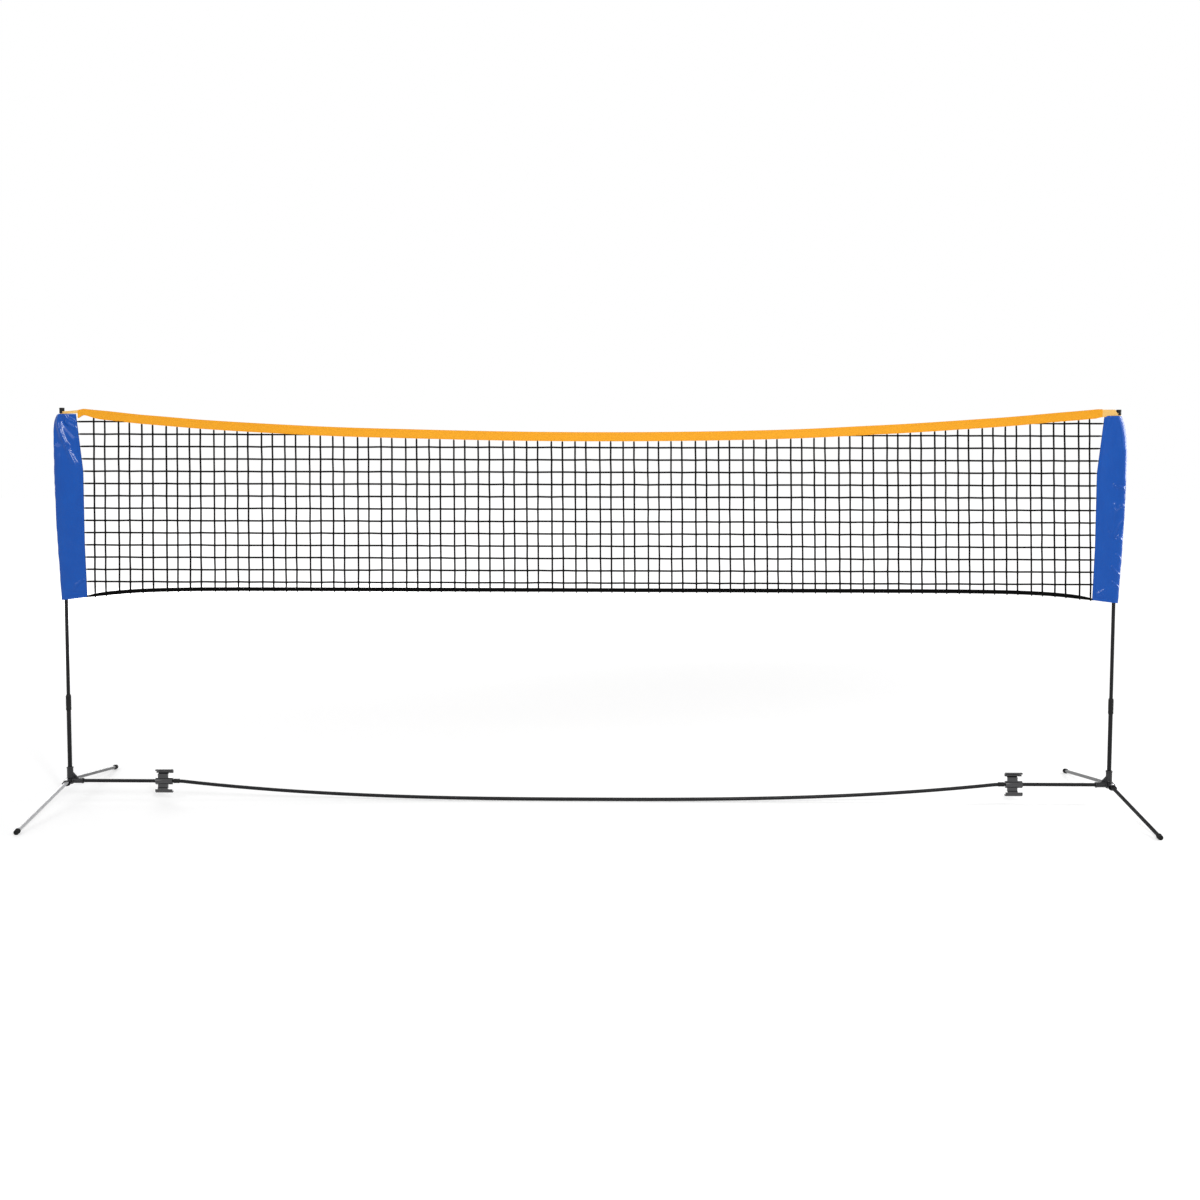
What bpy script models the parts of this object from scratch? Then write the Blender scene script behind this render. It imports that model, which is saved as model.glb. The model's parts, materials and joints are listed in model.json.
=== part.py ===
"""A portable badminton net on a folding stand, in metres, +Z up.

X runs along the net, -Y faces the player in front of it, and the floor is Z = 0.
The origin lies on the floor under the middle of the net. The two ends of the stand
are alike: the right one is the left one turned half round about Z.
"""

import math

import bmesh
import bpy
from mathutils import Matrix, Vector

# Overall sizes
POST_SPACING = 4.170
HUB_HEIGHT = 0.075
LEG_REACH = 0.500
CLEARANCE = 0.0003

# Round pieces have this many sides, and the bent rails and turned grips their own number
SIDES = 16
RAIL_SIDES = 12
GRIP_SIDES = 24
SMOOTH_BELOW_DEGREES = 32.0

# Cutters run past what they cut by this factor, and points closer than TOUCHING are one
OVERRUN = 2.0
TOUCHING = 1e-6

# Steel tubes
WALL = 0.0010
POST_UPPER_RADIUS = 0.0070
RAIL_RADIUS = 0.0070
LEG_RADIUS = 0.0070

# Telescoping posts
POST_UPPER_BOTTOM = 0.330
POST_LOWER_TOP = 0.410
POST_TOP = 1.574
CAP_LENGTH = 0.012
CAP_WALL = 0.0012
CAP_FLARE = 0.0014
CAP_CROWN = 0.0042
CAP_THICKNESS = 0.0047
GUIDE_FLANGE = 0.003
GUIDE_SPIGOT = 0.018
LOCK_BELOW = 0.048
LOCK_ABOVE = 0.014
LOCK_WALL = 0.0014
LOCK_SHOULDER = 0.0040
LOCK_HEM = 0.0020
LOCK_HEM_STEP = 0.0005
LOCK_SEAT = 0.0010
LOCK_SEAT_TOP = 0.0020
FLUTE_DEPTH = 0.0005
FLUTES = 12

# Hub
HUB_BASE = 0.013
HUB_WALL = 0.0032
SOCKET_FLOOR = 0.0095
POST_SOCKET_HEIGHT = 0.058
RAIL_SOCKET_LENGTH = 0.054
RAIL_SOCKET_FLOOR = 0.0140
GUSSET_REACH = 0.0345
GUSSET_RISE = 0.035
GUSSET_THICKNESS = 0.008
GUSSET_NOSE = 0.0085
GUSSET_SHOULDER = 0.0109
PIN_OFFSET = 0.036
LUG_THICKNESS = 0.0040
LUG_RADIUS = 0.0115
SLOT_BACK = 0.0085
STOP_LENGTH = 0.022
STOP_THICKNESS = 0.0040

# Leg pins, as rivets with a head at each end
PIN_RADIUS = 0.0030
PIN_HEAD_RADIUS = 0.0052
PIN_HEAD_HEIGHT = 0.0022
PIN_HEAD_EDGE = 0.0011
PIN_HEAD_FLAT = 0.0029

# Legs and feet
LEG_PLUG = 0.012
LEG_EYE_HALF = 0.0066
FOOT_GRIP = 0.014
FOOT_SOLE = 0.005
FOOT_WALL = 0.0024
FOOT_BEAD = 0.0008
FOOT_BEAD_LENGTH = 0.003
FOOT_ROUNDING = 0.0022
FOOT_FLAT = 0.0014

# Ground rail: on each side a stub, a ferrule, an outer and a middle rail, with a joiner at the middle
STUB_REACH = 0.430
FERRULE_LENGTH = 0.022
FERRULE_WALL = 0.0017
BEND_FROM_STUB = 0.014
RAIL_JOINT = 0.820
RAIL_FLOOR_GAP = 0.0005
RAIL_SAG_POWER = 2.7
RAIL_STEPS = 7
SPIGOT_LENGTH = 0.045
SHOULDER = 0.0020
JOINER_RIB = 0.0030

# Storage clips
CLIP_PAST_FERRULE = 0.050
CLIP_LENGTH = 0.068
CLIP_COLLAR_RADIUS = 0.0125
CLIP_HOOK_WALL = 0.0044
CLIP_NECK = 0.0080
CLIP_NECK_LENGTH = 0.040
CLIP_NOTCH_LOW = 0.0135
CLIP_NOTCH_HIGH = 0.0310
CLIP_MOUTH_DEGREES = 54.0
CLIP_MOUTH_TILT_DEGREES = 12.0
ARC_STEP_DEGREES = 15.0

# Net cloth, cords and tape
NET_COLUMNS = 42
NET_ROWS = 7
ROW_PITCH = 0.0978
LOWEST_ROW_ABOVE_BAND = 0.0772
NET_DEPTH = 0.628
STRAND_WIDTH = 0.0050
STRAND_THICKNESS = 0.0034
TAPE_END_BELOW_CAP = 0.007
TAPE_SAG = 0.087
TAPE_FROM_POST = 0.063
TAPE_WIDTH = 0.036
TAPE_END_WIDTH = 0.010
TAPE_TAPER_START = 0.037
TAPE_TAPER_END = 0.010
TAPE_THICKNESS = 0.0030
BAND_DROP = 0.036
BAND_DROP_POWER = 10
BAND_WIDTH = 0.014
BAND_THICKNESS = 0.0030
STRIP_CELLS = 32
SOFT_GAP = 0.0006

# Sleeves, the cloth pockets that hold the posts
SLEEVE_BELOW_CAP = 0.0275
SLEEVE_BELOW_BAND = 0.046
SLEEVE_SLANT = 0.012
SLEEVE_INNER = 0.085
SLEEVE_INNER_RISE = 0.006
SLEEVE_INNER_RISE_SHARE = 0.3
SLEEVE_INNER_PULL = 0.024
SLEEVE_INNER_PULL_START = 0.695
SLEEVE_OUTER = 0.0175
SLEEVE_BELLY = 0.019
SLEEVE_BELLY_SHARE = 0.75
SLEEVE_TOP_PULL = 0.025
SLEEVE_TOP_PULL_POWER = 3
SLEEVE_HALF_DEPTH = 0.0125
SLEEVE_FULLEST_POWER = 0.62
SLEEVE_ROUNDNESS = 0.8
SLEEVE_EDGE = 0.0032
SLEEVE_WALL = 0.0010
SLEEVE_FOLD = 0.0020
FOLDS_ACROSS = 1.6
FOLDS_DOWN_LEFT = 3.2
FOLDS_DOWN_RIGHT = 2.56
HEM_FOLDS = 9.0
HEM_FOLD_SHARE = 0.5
HEM_FOLD_POWER = 6
SLEEVE_AROUND = 16
SLEEVE_LEVELS = 14

# Webbing loops that tie the tape's ends to the posts
LOOP_WALL = 0.0012
LOOP_REST = 0.0030
LOOP_TIP = 0.0020

# Angles shared by several pieces
FLAT_SHARE = math.cos(math.pi / SIDES)
RAIL_FLAT_SHARE = math.cos(math.pi / RAIL_SIDES)


def bore_for(radius):
    """Radius of a faceted hole that clears a round piece, however the two are turned."""
    return (radius + CLEARANCE) / FLAT_SHARE


def plug_for(radius):
    """Radius of a round piece that clears the flats of a faceted hole."""
    return radius * RAIL_FLAT_SHARE - CLEARANCE


# Sizes that follow from those above
POST_X = POST_SPACING / 2
POST_TUBE_TOP = POST_TOP - CAP_THICKNESS - CLEARANCE
POST_LOWER_BORE = bore_for(POST_UPPER_RADIUS)
POST_LOWER_RADIUS = POST_LOWER_BORE + WALL
RAIL_BORE = RAIL_RADIUS - WALL
SPIGOT_RADIUS = plug_for(RAIL_BORE)
STUB_END = POST_X - STUB_REACH
CLIP_CENTRE = STUB_END + CLIP_PAST_FERRULE
RAIL_BEND = STUB_END - BEND_FROM_STUB
FOOT_RADIUS = bore_for(LEG_RADIUS) + FOOT_WALL
FOOT_AXIS_HEIGHT = FOOT_RADIUS - FOOT_FLAT
LEG_SLOPE = math.atan((HUB_HEIGHT - FOOT_AXIS_HEIGHT) / (LEG_REACH - PIN_OFFSET))
LEG_LENGTH = (LEG_REACH - PIN_OFFSET) / math.cos(LEG_SLOPE) - FOOT_SOLE
LUG_GAP = LEG_RADIUS + CLEARANCE
LUG_OUTSIDE = LUG_GAP + LUG_THICKNESS
HUB_RADIUS = bore_for(POST_LOWER_RADIUS) + HUB_WALL
RAIL_SOCKET_RADIUS = bore_for(RAIL_RADIUS) + HUB_WALL
CLIP_HOOK_BORE = bore_for(LEG_RADIUS)
NET_HALF = POST_X - SLEEVE_INNER
TAPE_HALF = POST_X - TAPE_FROM_POST
TAPE_END = POST_TOP - TAPE_END_BELOW_CAP
TAPE_MIDDLE = TAPE_END - TAPE_SAG
BAND_MIDDLE = TAPE_MIDDLE - NET_DEPTH
LOWEST_ROW = BAND_MIDDLE + LOWEST_ROW_ABOVE_BAND
SLEEVE_TOP = POST_TOP - SLEEVE_BELOW_CAP
SLEEVE_BOTTOM = BAND_MIDDLE - SLEEVE_BELOW_BAND

BLACK_TUBE = ("black_tube", (0.030, 0.031, 0.034), 0.34, 0.35)
DARK_TUBE = ("grey_tube", (0.120, 0.122, 0.128), 0.30, 0.55)
HUB_PLASTIC = ("hub_plastic", (0.022, 0.022, 0.026), 0.42, 0.0)
CLIP_PLASTIC = ("clip_plastic", (0.060, 0.060, 0.064), 0.38, 0.0)
CAP_PLASTIC = ("cap_plastic", (0.012, 0.012, 0.013), 0.45, 0.0)
FOOT_RUBBER = ("foot_rubber", (0.014, 0.014, 0.014), 0.75, 0.0)
RIVET_STEEL = ("rivet_steel", (0.420, 0.420, 0.430), 0.32, 1.0)
BLUE_NYLON = ("blue_nylon", (0.010, 0.072, 0.450), 0.36, 0.0)
ORANGE_TAPE = ("orange_tape", (0.950, 0.400, 0.025), 0.62, 0.0)
BLACK_WEBBING = ("black_webbing", (0.013, 0.013, 0.015), 0.80, 0.0)
NET_CORD = ("net_cord", (0.042, 0.042, 0.046), 0.78, 0.0)


def clear_scene():
    for thing in list(bpy.data.objects):
        bpy.data.objects.remove(thing)


def collection_named(name):
    group = bpy.data.collections.new(name)
    bpy.context.scene.collection.children.link(group)
    return group


clear_scene()
NET_AND_STAND = collection_named("badminton_net")
WORKSHOP = collection_named("cutters")


def material(finish):
    """A Principled material for a finish, made once."""
    name, colour, roughness, metallic = finish
    found = bpy.data.materials.get(name)
    if found:
        return found
    made = bpy.data.materials.new(name)
    made.use_nodes = True
    shader = made.node_tree.nodes["Principled BSDF"]
    shader.inputs["Base Color"].default_value = (*colour, 1.0)
    shader.inputs["Roughness"].default_value = roughness
    shader.inputs["Metallic"].default_value = metallic
    made.diffuse_color = (*colour, 1.0)
    return made


def place(name, mesh, finish, matrix=None, parent=None):
    """Adds a finished mesh as one named piece, under its parent empty if it has one."""
    piece = bpy.data.objects.new(name, mesh)
    NET_AND_STAND.objects.link(piece)
    if not mesh.materials:
        mesh.materials.append(material(finish))
    mesh.shade_smooth()
    mesh.set_sharp_from_angle(angle=math.radians(SMOOTH_BELOW_DEGREES))
    piece.matrix_world = matrix or Matrix.Identity(4)
    if parent:
        piece.parent = parent
        piece.matrix_parent_inverse = parent.matrix_world.inverted()
    return piece


def empty_at(name, location):
    """An empty that carries what moves along or about an axis through it."""
    guide = bpy.data.objects.new(name, None)
    guide.empty_display_size = 0.05
    guide.location = location
    NET_AND_STAND.objects.link(guide)
    bpy.context.view_layer.update()
    return guide


def workpiece(name, data):
    """An object that is only a step on the way to a piece."""
    made = bpy.data.objects.new(name, data)
    made.hide_render = True
    made.display_type = "WIRE"
    WORKSHOP.objects.link(made)
    return made


def mesh_of(*steps):
    """The evaluated mesh of the first object, with that object and its helpers removed."""
    bpy.context.view_layer.update()
    source = steps[0].evaluated_get(bpy.context.evaluated_depsgraph_get())
    mesh = bpy.data.meshes.new_from_object(source)
    shape = bmesh.new()
    shape.from_mesh(mesh)
    bmesh.ops.remove_doubles(shape, verts=shape.verts, dist=TOUCHING)
    bmesh.ops.recalc_face_normals(shape, faces=shape.faces)
    shape.to_mesh(mesh)
    shape.free()
    for step in steps:
        bpy.data.objects.remove(step)
    return mesh


def solid(name, shape, matrix=None):
    """A work object from a bmesh, moved by a matrix."""
    if matrix:
        bmesh.ops.transform(shape, matrix=matrix, verts=shape.verts)
    mesh = bpy.data.meshes.new(name)
    shape.to_mesh(mesh)
    shape.free()
    return workpiece(name, mesh)


def box(name, low, high, matrix=None):
    shape = bmesh.new()
    bmesh.ops.create_cube(shape, size=1.0)
    low, high = Vector(low), Vector(high)
    bmesh.ops.scale(shape, vec=high - low, verts=shape.verts)
    bmesh.ops.translate(shape, vec=(high + low) / 2, verts=shape.verts)
    return solid(name, shape, matrix)


def cylinder(name, radius, low, high, matrix=None):
    """A cylinder about Z from one height to another."""
    shape = bmesh.new()
    bmesh.ops.create_cone(
        shape, cap_ends=True, segments=SIDES, radius1=radius, radius2=radius, depth=high - low
    )
    bmesh.ops.translate(shape, vec=(0, 0, (high + low) / 2), verts=shape.verts)
    return solid(name, shape, matrix)


def turned(name, profile, closed, sides=SIDES):
    """A turned piece about Z. Its profile of (radius, height) runs down the outer side first."""
    shape = bmesh.new()
    points = [shape.verts.new((radius, 0, height)) for radius, height in profile]
    for first, second in zip(points, points[1:]):
        shape.edges.new((first, second))
    if closed:
        shape.edges.new((points[-1], points[0]))
    piece = solid(name, shape)
    screw = piece.modifiers.new("turn", "SCREW")
    screw.steps = sides
    screw.render_steps = sides
    screw.use_merge_vertices = True
    screw.merge_threshold = 0.0001
    return piece


def tube(name, radius, bore, low, high):
    """A turned tube about Z."""
    profile = [(radius, high), (radius, low), (bore, low), (bore, high)]
    return turned(name, profile, closed=True)


def extruded(name, outlines, thickness):
    """A flat outline in X and Y, with any holes as further outlines, thickened along Z."""
    curve = bpy.data.curves.new(name, "CURVE")
    curve.dimensions = "2D"
    curve.fill_mode = "BOTH"
    curve.extrude = thickness / 2
    for outline in outlines:
        spline = curve.splines.new("POLY")
        spline.points.add(len(outline) - 1)
        spline.use_cyclic_u = True
        for point, (x, y) in zip(spline.points, outline):
            point.co = (x, y, 0, 1)
    return workpiece(name, mesh_of(workpiece(name, curve)))


def combine(piece, other, operation):
    change = piece.modifiers.new(other.name, "BOOLEAN")
    change.operation = operation
    change.object = other
    change.solver = "EXACT"


def carved(piece, added, removed):
    """The mesh of a piece after adding some solids and then cutting others away."""
    for other in added:
        combine(piece, other, "UNION")
    for other in removed:
        combine(piece, other, "DIFFERENCE")
    return mesh_of(piece, *added, *removed)


def arc(centre, radius, start, end):
    """Points along an arc, from a start to an end in degrees, both included."""
    steps = max(1, math.ceil(abs(end - start) / ARC_STEP_DEGREES - TOUCHING))
    angles = [math.radians(start + (end - start) * i / steps) for i in range(steps + 1)]
    return [(centre[0] + radius * math.cos(a), centre[1] + radius * math.sin(a)) for a in angles]


ALONG_X = Matrix.Rotation(math.pi / 2, 4, "Y")
ALONG_Y = Matrix.Rotation(-math.pi / 2, 4, "X")


def leg_frame(front):
    """From a leg's own axes to the hub's: the leg runs out along its Y and its pin along its Z."""
    turn = Matrix.Rotation(math.pi if front else 0.0, 4, "Z")
    offset = -PIN_OFFSET if front else PIN_OFFSET
    tip = Matrix.Rotation(-LEG_SLOPE, 4, "X")
    return Matrix.Translation((0, offset, 0)) @ turn @ tip


# Hub: sockets for the post and the rail, a gusset between them, and a clevis for each leg
def clevis_solids(front):
    """What a leg's clevis adds to the hub and cuts from it. The stop is on the outboard side."""
    frame = leg_frame(front)
    outboard = 1.0 if front else -1.0
    stop_inside = outboard * (LEG_RADIUS + CLEARANCE)
    stop_outside = stop_inside + outboard * STOP_THICKNESS
    stop_low, stop_high = sorted((stop_inside, stop_outside))
    slot_low, slot_high = sorted((stop_inside, -outboard * OVERRUN * LUG_RADIUS))
    block = box(
        "clevis_block", (-LUG_RADIUS, -PIN_OFFSET, -LUG_OUTSIDE), (LUG_RADIUS, 0, LUG_OUTSIDE), frame
    )
    lug = cylinder("clevis_lug", LUG_RADIUS, -LUG_OUTSIDE, LUG_OUTSIDE, frame)
    stop = box(
        "clevis_stop",
        (stop_low, -SLOT_BACK - CLEARANCE, -LUG_GAP - CLEARANCE),
        (stop_high, STOP_LENGTH, LUG_GAP + CLEARANCE),
        frame,
    )
    slot = box(
        "clevis_slot",
        (slot_low, -SLOT_BACK, -LUG_GAP),
        (slot_high, OVERRUN * STOP_LENGTH, LUG_GAP),
        frame,
    )
    reach = OVERRUN * LUG_OUTSIDE
    hole = cylinder("clevis_hole", bore_for(PIN_RADIUS), -reach, reach, frame)
    return [block, lug, stop], [slot, hole]


def gusset():
    """The three-cornered web between the post socket and the rail socket."""
    outline = [(0, 0), (GUSSET_REACH, 0), (GUSSET_REACH, GUSSET_NOSE)]
    outline += [(GUSSET_SHOULDER, GUSSET_RISE), (0, GUSSET_RISE)]
    web = extruded("gusset", [outline], GUSSET_THICKNESS)
    web.data.transform(Matrix.Rotation(math.pi / 2, 4, "X"))
    return web


def hub_mesh():
    body = cylinder("hub", HUB_RADIUS, -HUB_BASE, POST_SOCKET_HEIGHT)
    rail_socket = cylinder("rail_socket", RAIL_SOCKET_RADIUS, 0, RAIL_SOCKET_LENGTH, ALONG_X)
    front_added, front_removed = clevis_solids(True)
    rear_added, rear_removed = clevis_solids(False)
    post_bore = cylinder(
        "post_bore", bore_for(POST_LOWER_RADIUS), SOCKET_FLOOR, OVERRUN * POST_SOCKET_HEIGHT
    )
    rail_reach = OVERRUN * RAIL_SOCKET_LENGTH
    rail_bore = cylinder("rail_bore", bore_for(RAIL_RADIUS), RAIL_SOCKET_FLOOR, rail_reach, ALONG_X)
    added = [rail_socket, gusset(), *front_added, *rear_added]
    return carved(body, added, [*front_removed, *rear_removed, post_bore, rail_bore])


# Legs: a tube with a rounded, drilled end, a rivet for its pin and a rubber foot
def leg_mesh():
    outside = cylinder("leg", LEG_RADIUS, 0, LEG_LENGTH, ALONG_Y)
    eye = cylinder("leg_eye", LEG_RADIUS - CLEARANCE, -LEG_EYE_HALF, LEG_EYE_HALF)
    inside = cylinder("leg_bore", LEG_RADIUS - WALL, LEG_PLUG, OVERRUN * LEG_LENGTH, ALONG_Y)
    reach = OVERRUN * LEG_RADIUS
    hole = cylinder("leg_hole", bore_for(PIN_RADIUS), -reach, reach)
    return carved(outside, [eye], [inside, hole])


def pin_mesh():
    seat = LUG_OUTSIDE + CLEARANCE
    top = seat + PIN_HEAD_HEIGHT
    half = [(0, top), (PIN_HEAD_FLAT, top), (PIN_HEAD_RADIUS, seat + PIN_HEAD_EDGE)]
    half += [(PIN_HEAD_RADIUS, seat), (PIN_RADIUS, seat)]
    mirrored = [(radius, -height) for radius, height in reversed(half)]
    return mesh_of(turned("pin", half + mirrored, closed=False, sides=RAIL_SIDES))


def foot_mesh():
    """A rubber cup about the leg's end, in the leg's axes, worn flat where it meets the floor."""
    start = LEG_LENGTH - FOOT_GRIP
    tip = LEG_LENGTH + FOOT_SOLE
    bore = bore_for(LEG_RADIUS)
    bead = FOOT_RADIUS + FOOT_BEAD
    profile = [(0, tip), (FOOT_RADIUS - FOOT_ROUNDING, tip)]
    profile += [(FOOT_RADIUS, tip - FOOT_ROUNDING), (FOOT_RADIUS, start + FOOT_BEAD_LENGTH)]
    profile += [(bead, start + FOOT_BEAD_LENGTH - FOOT_BEAD), (bead, start), (bore, start)]
    profile += [(bore, LEG_LENGTH + CLEARANCE), (0, LEG_LENGTH + CLEARANCE)]
    cup = turned("foot", profile, closed=False)
    cup.matrix_world = ALONG_Y
    upright = Matrix.Translation((0, 0, HUB_HEIGHT)) @ leg_frame(False)
    floor = box(
        "floor", (-LEG_REACH, 0, -HUB_HEIGHT), (LEG_REACH, OVERRUN * LEG_REACH, 0), upright.inverted()
    )
    combine(cup, floor, "DIFFERENCE")
    mesh = mesh_of(cup, floor)
    mesh.transform(ALONG_Y)
    return mesh


# Posts: a lower tube in the hub, a lock that turns on its top, and an upper tube that slides in it
def lock_mesh():
    """The turning grip, from the post's top end down over the lower tube, with flutes outside."""
    wide = (POST_LOWER_RADIUS + CLEARANCE) / math.cos(math.pi / GRIP_SIDES)
    narrow = (POST_UPPER_RADIUS + CLEARANCE) / math.cos(math.pi / GRIP_SIDES)
    outside = wide + LOCK_WALL
    neck = narrow + LOCK_WALL
    profile = [(neck, LOCK_ABOVE), (outside, LOCK_ABOVE - LOCK_SHOULDER)]
    profile += [(outside, -LOCK_BELOW + LOCK_HEM), (outside - LOCK_HEM_STEP, -LOCK_BELOW)]
    profile += [(wide, -LOCK_BELOW), (wide, LOCK_SEAT)]
    profile += [(narrow, LOCK_SEAT_TOP), (narrow, LOCK_ABOVE)]
    mesh = mesh_of(turned("lock", profile, closed=True, sides=GRIP_SIDES))
    for vertex in mesh.vertices:
        radius = vertex.co.xy.length
        if radius > outside - TOUCHING:
            angle = math.atan2(vertex.co.y, vertex.co.x)
            share = 1 - FLUTE_DEPTH / radius * (0.5 - 0.5 * math.cos(FLUTES * angle))
            vertex.co.x *= share
            vertex.co.y *= share
    return mesh


def guide_mesh():
    """The plastic plug at the upper tube's lower end, which keeps it central as it slides."""
    flange = POST_LOWER_BORE * FLAT_SHARE - CLEARANCE
    spigot = plug_for(POST_UPPER_RADIUS - WALL)
    profile = [(0, GUIDE_SPIGOT), (spigot, GUIDE_SPIGOT), (spigot, -CLEARANCE)]
    profile += [(flange, -CLEARANCE), (flange, -GUIDE_FLANGE), (0, -GUIDE_FLANGE)]
    return mesh_of(turned("guide", profile, closed=False))


def cap_mesh():
    """The cap over a post's top end, a little wider at its crown."""
    bore = bore_for(POST_UPPER_RADIUS)
    skirt = bore + CAP_WALL
    crown = skirt + CAP_FLARE
    profile = [(0, 0), (skirt, 0), (crown, -CAP_FLARE), (crown, -CAP_CROWN)]
    profile += [(skirt, -CAP_LENGTH + CAP_FLARE), (skirt, -CAP_LENGTH), (bore, -CAP_LENGTH)]
    profile += [(bore, -CAP_THICKNESS), (0, -CAP_THICKNESS)]
    return mesh_of(turned("cap", profile, closed=False))


# Ground rail: straight stubs, then bent sections that sag to the floor at mid-span
def rail_height(x):
    """Height of the rail's centreline, level at the stubs and lying on the floor at mid-span."""
    lowest = RAIL_RADIUS + RAIL_FLOOR_GAP
    share = min(abs(x) / RAIL_BEND, 1.0)
    return lowest + (HUB_HEIGHT - lowest) * share**RAIL_SAG_POWER


def rail_section(name, outboard, inboard, bend):
    """A hollow rail with a swaged spigot at its outboard end, along the right half's X."""
    shoulder = outboard - CLEARANCE
    body = shoulder - SHOULDER
    stations = [(outboard + SPIGOT_LENGTH, SPIGOT_RADIUS), (shoulder, SPIGOT_RADIUS)]
    stations.append((body, RAIL_RADIUS))
    for step in range(RAIL_STEPS + 1):
        share = step / RAIL_STEPS
        stations.append((bend + (inboard - bend) * share, RAIL_RADIUS))
    curve = bpy.data.curves.new(name, "CURVE")
    curve.dimensions = "3D"
    curve.bevel_depth = RAIL_RADIUS
    curve.bevel_resolution = (RAIL_SIDES - 4) // 2
    spline = curve.splines.new("POLY")
    spline.points.add(len(stations) - 1)
    for point, (x, radius) in zip(spline.points, stations):
        point.co = (x, 0, rail_height(x), 1)
        point.radius = radius / RAIL_RADIUS
    section = workpiece(name, curve)
    shell = section.modifiers.new("wall", "SOLIDIFY")
    shell.thickness = WALL
    shell.offset = -1
    return mesh_of(section)


def joiner_mesh():
    """The dowel that joins the two middle rails, with a rib between their ends."""
    half_rib = JOINER_RIB / 2
    profile = [(SPIGOT_RADIUS, SPIGOT_LENGTH), (SPIGOT_RADIUS, half_rib), (RAIL_RADIUS, half_rib)]
    profile += [(RAIL_RADIUS, -half_rib), (SPIGOT_RADIUS, -half_rib)]
    profile += [(SPIGOT_RADIUS, -SPIGOT_LENGTH)]
    profile += [(SPIGOT_RADIUS - WALL, -SPIGOT_LENGTH), (SPIGOT_RADIUS - WALL, SPIGOT_LENGTH)]
    return mesh_of(turned("joiner", profile, closed=True, sides=RAIL_SIDES))


# Storage clips: a collar that turns on the rail, with a snap hook on each side of it
def hook_outline(centre, neck_angle):
    """The outer and inner arcs of the upper hook, from the neck's front to its back."""
    radius = CLIP_HOOK_BORE + CLIP_HOOK_WALL
    low = -CLIP_MOUTH_DEGREES - CLIP_MOUTH_TILT_DEGREES
    high = CLIP_MOUTH_DEGREES - CLIP_MOUTH_TILT_DEGREES
    outline = arc(centre, radius, -90 + neck_angle, low)
    outline += arc(centre, CLIP_HOOK_BORE, low, -360 + high)
    outline += arc(centre, radius, high, 270 - neck_angle)
    return outline


def neck_notches():
    """What is cut away at both ends of the two necks, so that they join only the clip's middle."""
    reach = CLIP_LENGTH
    start = CLIP_NECK_LENGTH / 2
    notches = []
    for low, high in ((CLIP_NOTCH_LOW, CLIP_NOTCH_HIGH), (-CLIP_NOTCH_HIGH, -CLIP_NOTCH_LOW)):
        notches.append(box("notch", (-reach, low, start), (reach, high, reach)))
        notches.append(box("notch", (-reach, low, -reach), (reach, high, -start)))
    return notches


def clip_mesh():
    """The clip's outline, extruded along the rail. Each hook's mouth leads as the clip turns."""
    hook_radius = CLIP_HOOK_BORE + CLIP_HOOK_WALL
    hook_neck = math.degrees(math.asin(CLIP_NECK / 2 / hook_radius))
    collar_neck = math.degrees(math.asin(CLIP_NECK / 2 / CLIP_COLLAR_RADIUS))
    upper = hook_outline((0, PIN_OFFSET), hook_neck)
    lower = [(-x, -y) for x, y in upper]
    back = arc((0, 0), CLIP_COLLAR_RADIUS, 90 + collar_neck, 270 - collar_neck)
    front = arc((0, 0), CLIP_COLLAR_RADIUS, -90 + collar_neck, 90 - collar_neck)
    bore = arc((0, 0), bore_for(RAIL_RADIUS), 0, 360)[:-1]
    clip = extruded("clip", [upper + back + lower + front, bore], CLIP_LENGTH)
    mesh = carved(clip, [], neck_notches())
    mesh.transform(Matrix(((0, 0, -1, 0), (-1, 0, 0, 0), (0, 1, 0, 0), (0, 0, 0, 1))))
    return mesh


# Net, tape, band, sleeves and loops: sheets laid out by a rule and given a thickness
def sheet(name, columns, rows, spot, thickness, offset, rolled=False, holes=0.0):
    """A sheet of cells whose corners spot(u, v) places, for u and v from 0 to 1."""
    shape = bmesh.new()
    bmesh.ops.create_grid(shape, x_segments=columns, y_segments=rows, size=0.5)
    for vertex in shape.verts:
        vertex.co = spot(vertex.co.x + 0.5, vertex.co.y + 0.5)
    shape.normal_update()
    if rolled:
        bmesh.ops.remove_doubles(shape, verts=shape.verts, dist=TOUCHING)
        bmesh.ops.recalc_face_normals(shape, faces=shape.faces)
    if holes:
        cells = list(shape.faces)
        bmesh.ops.inset_individual(shape, faces=cells, thickness=holes, use_even_offset=True)
        bmesh.ops.delete(shape, geom=cells, context="FACES")
    flat = solid(name, shape)
    shell = flat.modifiers.new("thickness", "SOLIDIFY")
    shell.thickness = thickness
    shell.offset = offset
    shell.use_even_offset = True
    return mesh_of(flat)


def dense_ends(u, half):
    """A place along the net with more of them near its two ends."""
    return half * math.sin((u - 0.5) * math.pi)


def tape_edge(x):
    """Height of the tape's top edge, a shallow hanging curve."""
    return TAPE_MIDDLE + (TAPE_END - TAPE_MIDDLE) * (x / TAPE_HALF) ** 2


def tape_spot(u, v):
    """The top tape, drawn in to the width of its loop at each end."""
    x = dense_ends(u, TAPE_HALF)
    from_end = TAPE_HALF - abs(x)
    share = (from_end - TAPE_TAPER_END) / (TAPE_TAPER_START - TAPE_TAPER_END)
    share = min(max(share, 0.0), 1.0)
    top = tape_edge(x) + (loop_middle() + TAPE_END_WIDTH / 2 - tape_edge(x)) * (1 - share)
    bottom = tape_edge(x) - TAPE_WIDTH
    bottom += (loop_middle() - TAPE_END_WIDTH / 2 - bottom) * (1 - share)
    return Vector((x, 0, bottom + (top - bottom) * v))


def band_height(x):
    """Height of the bottom band's middle, level until it drops near its ends."""
    return BAND_MIDDLE - BAND_DROP * abs(x / NET_HALF) ** BAND_DROP_POWER


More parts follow.
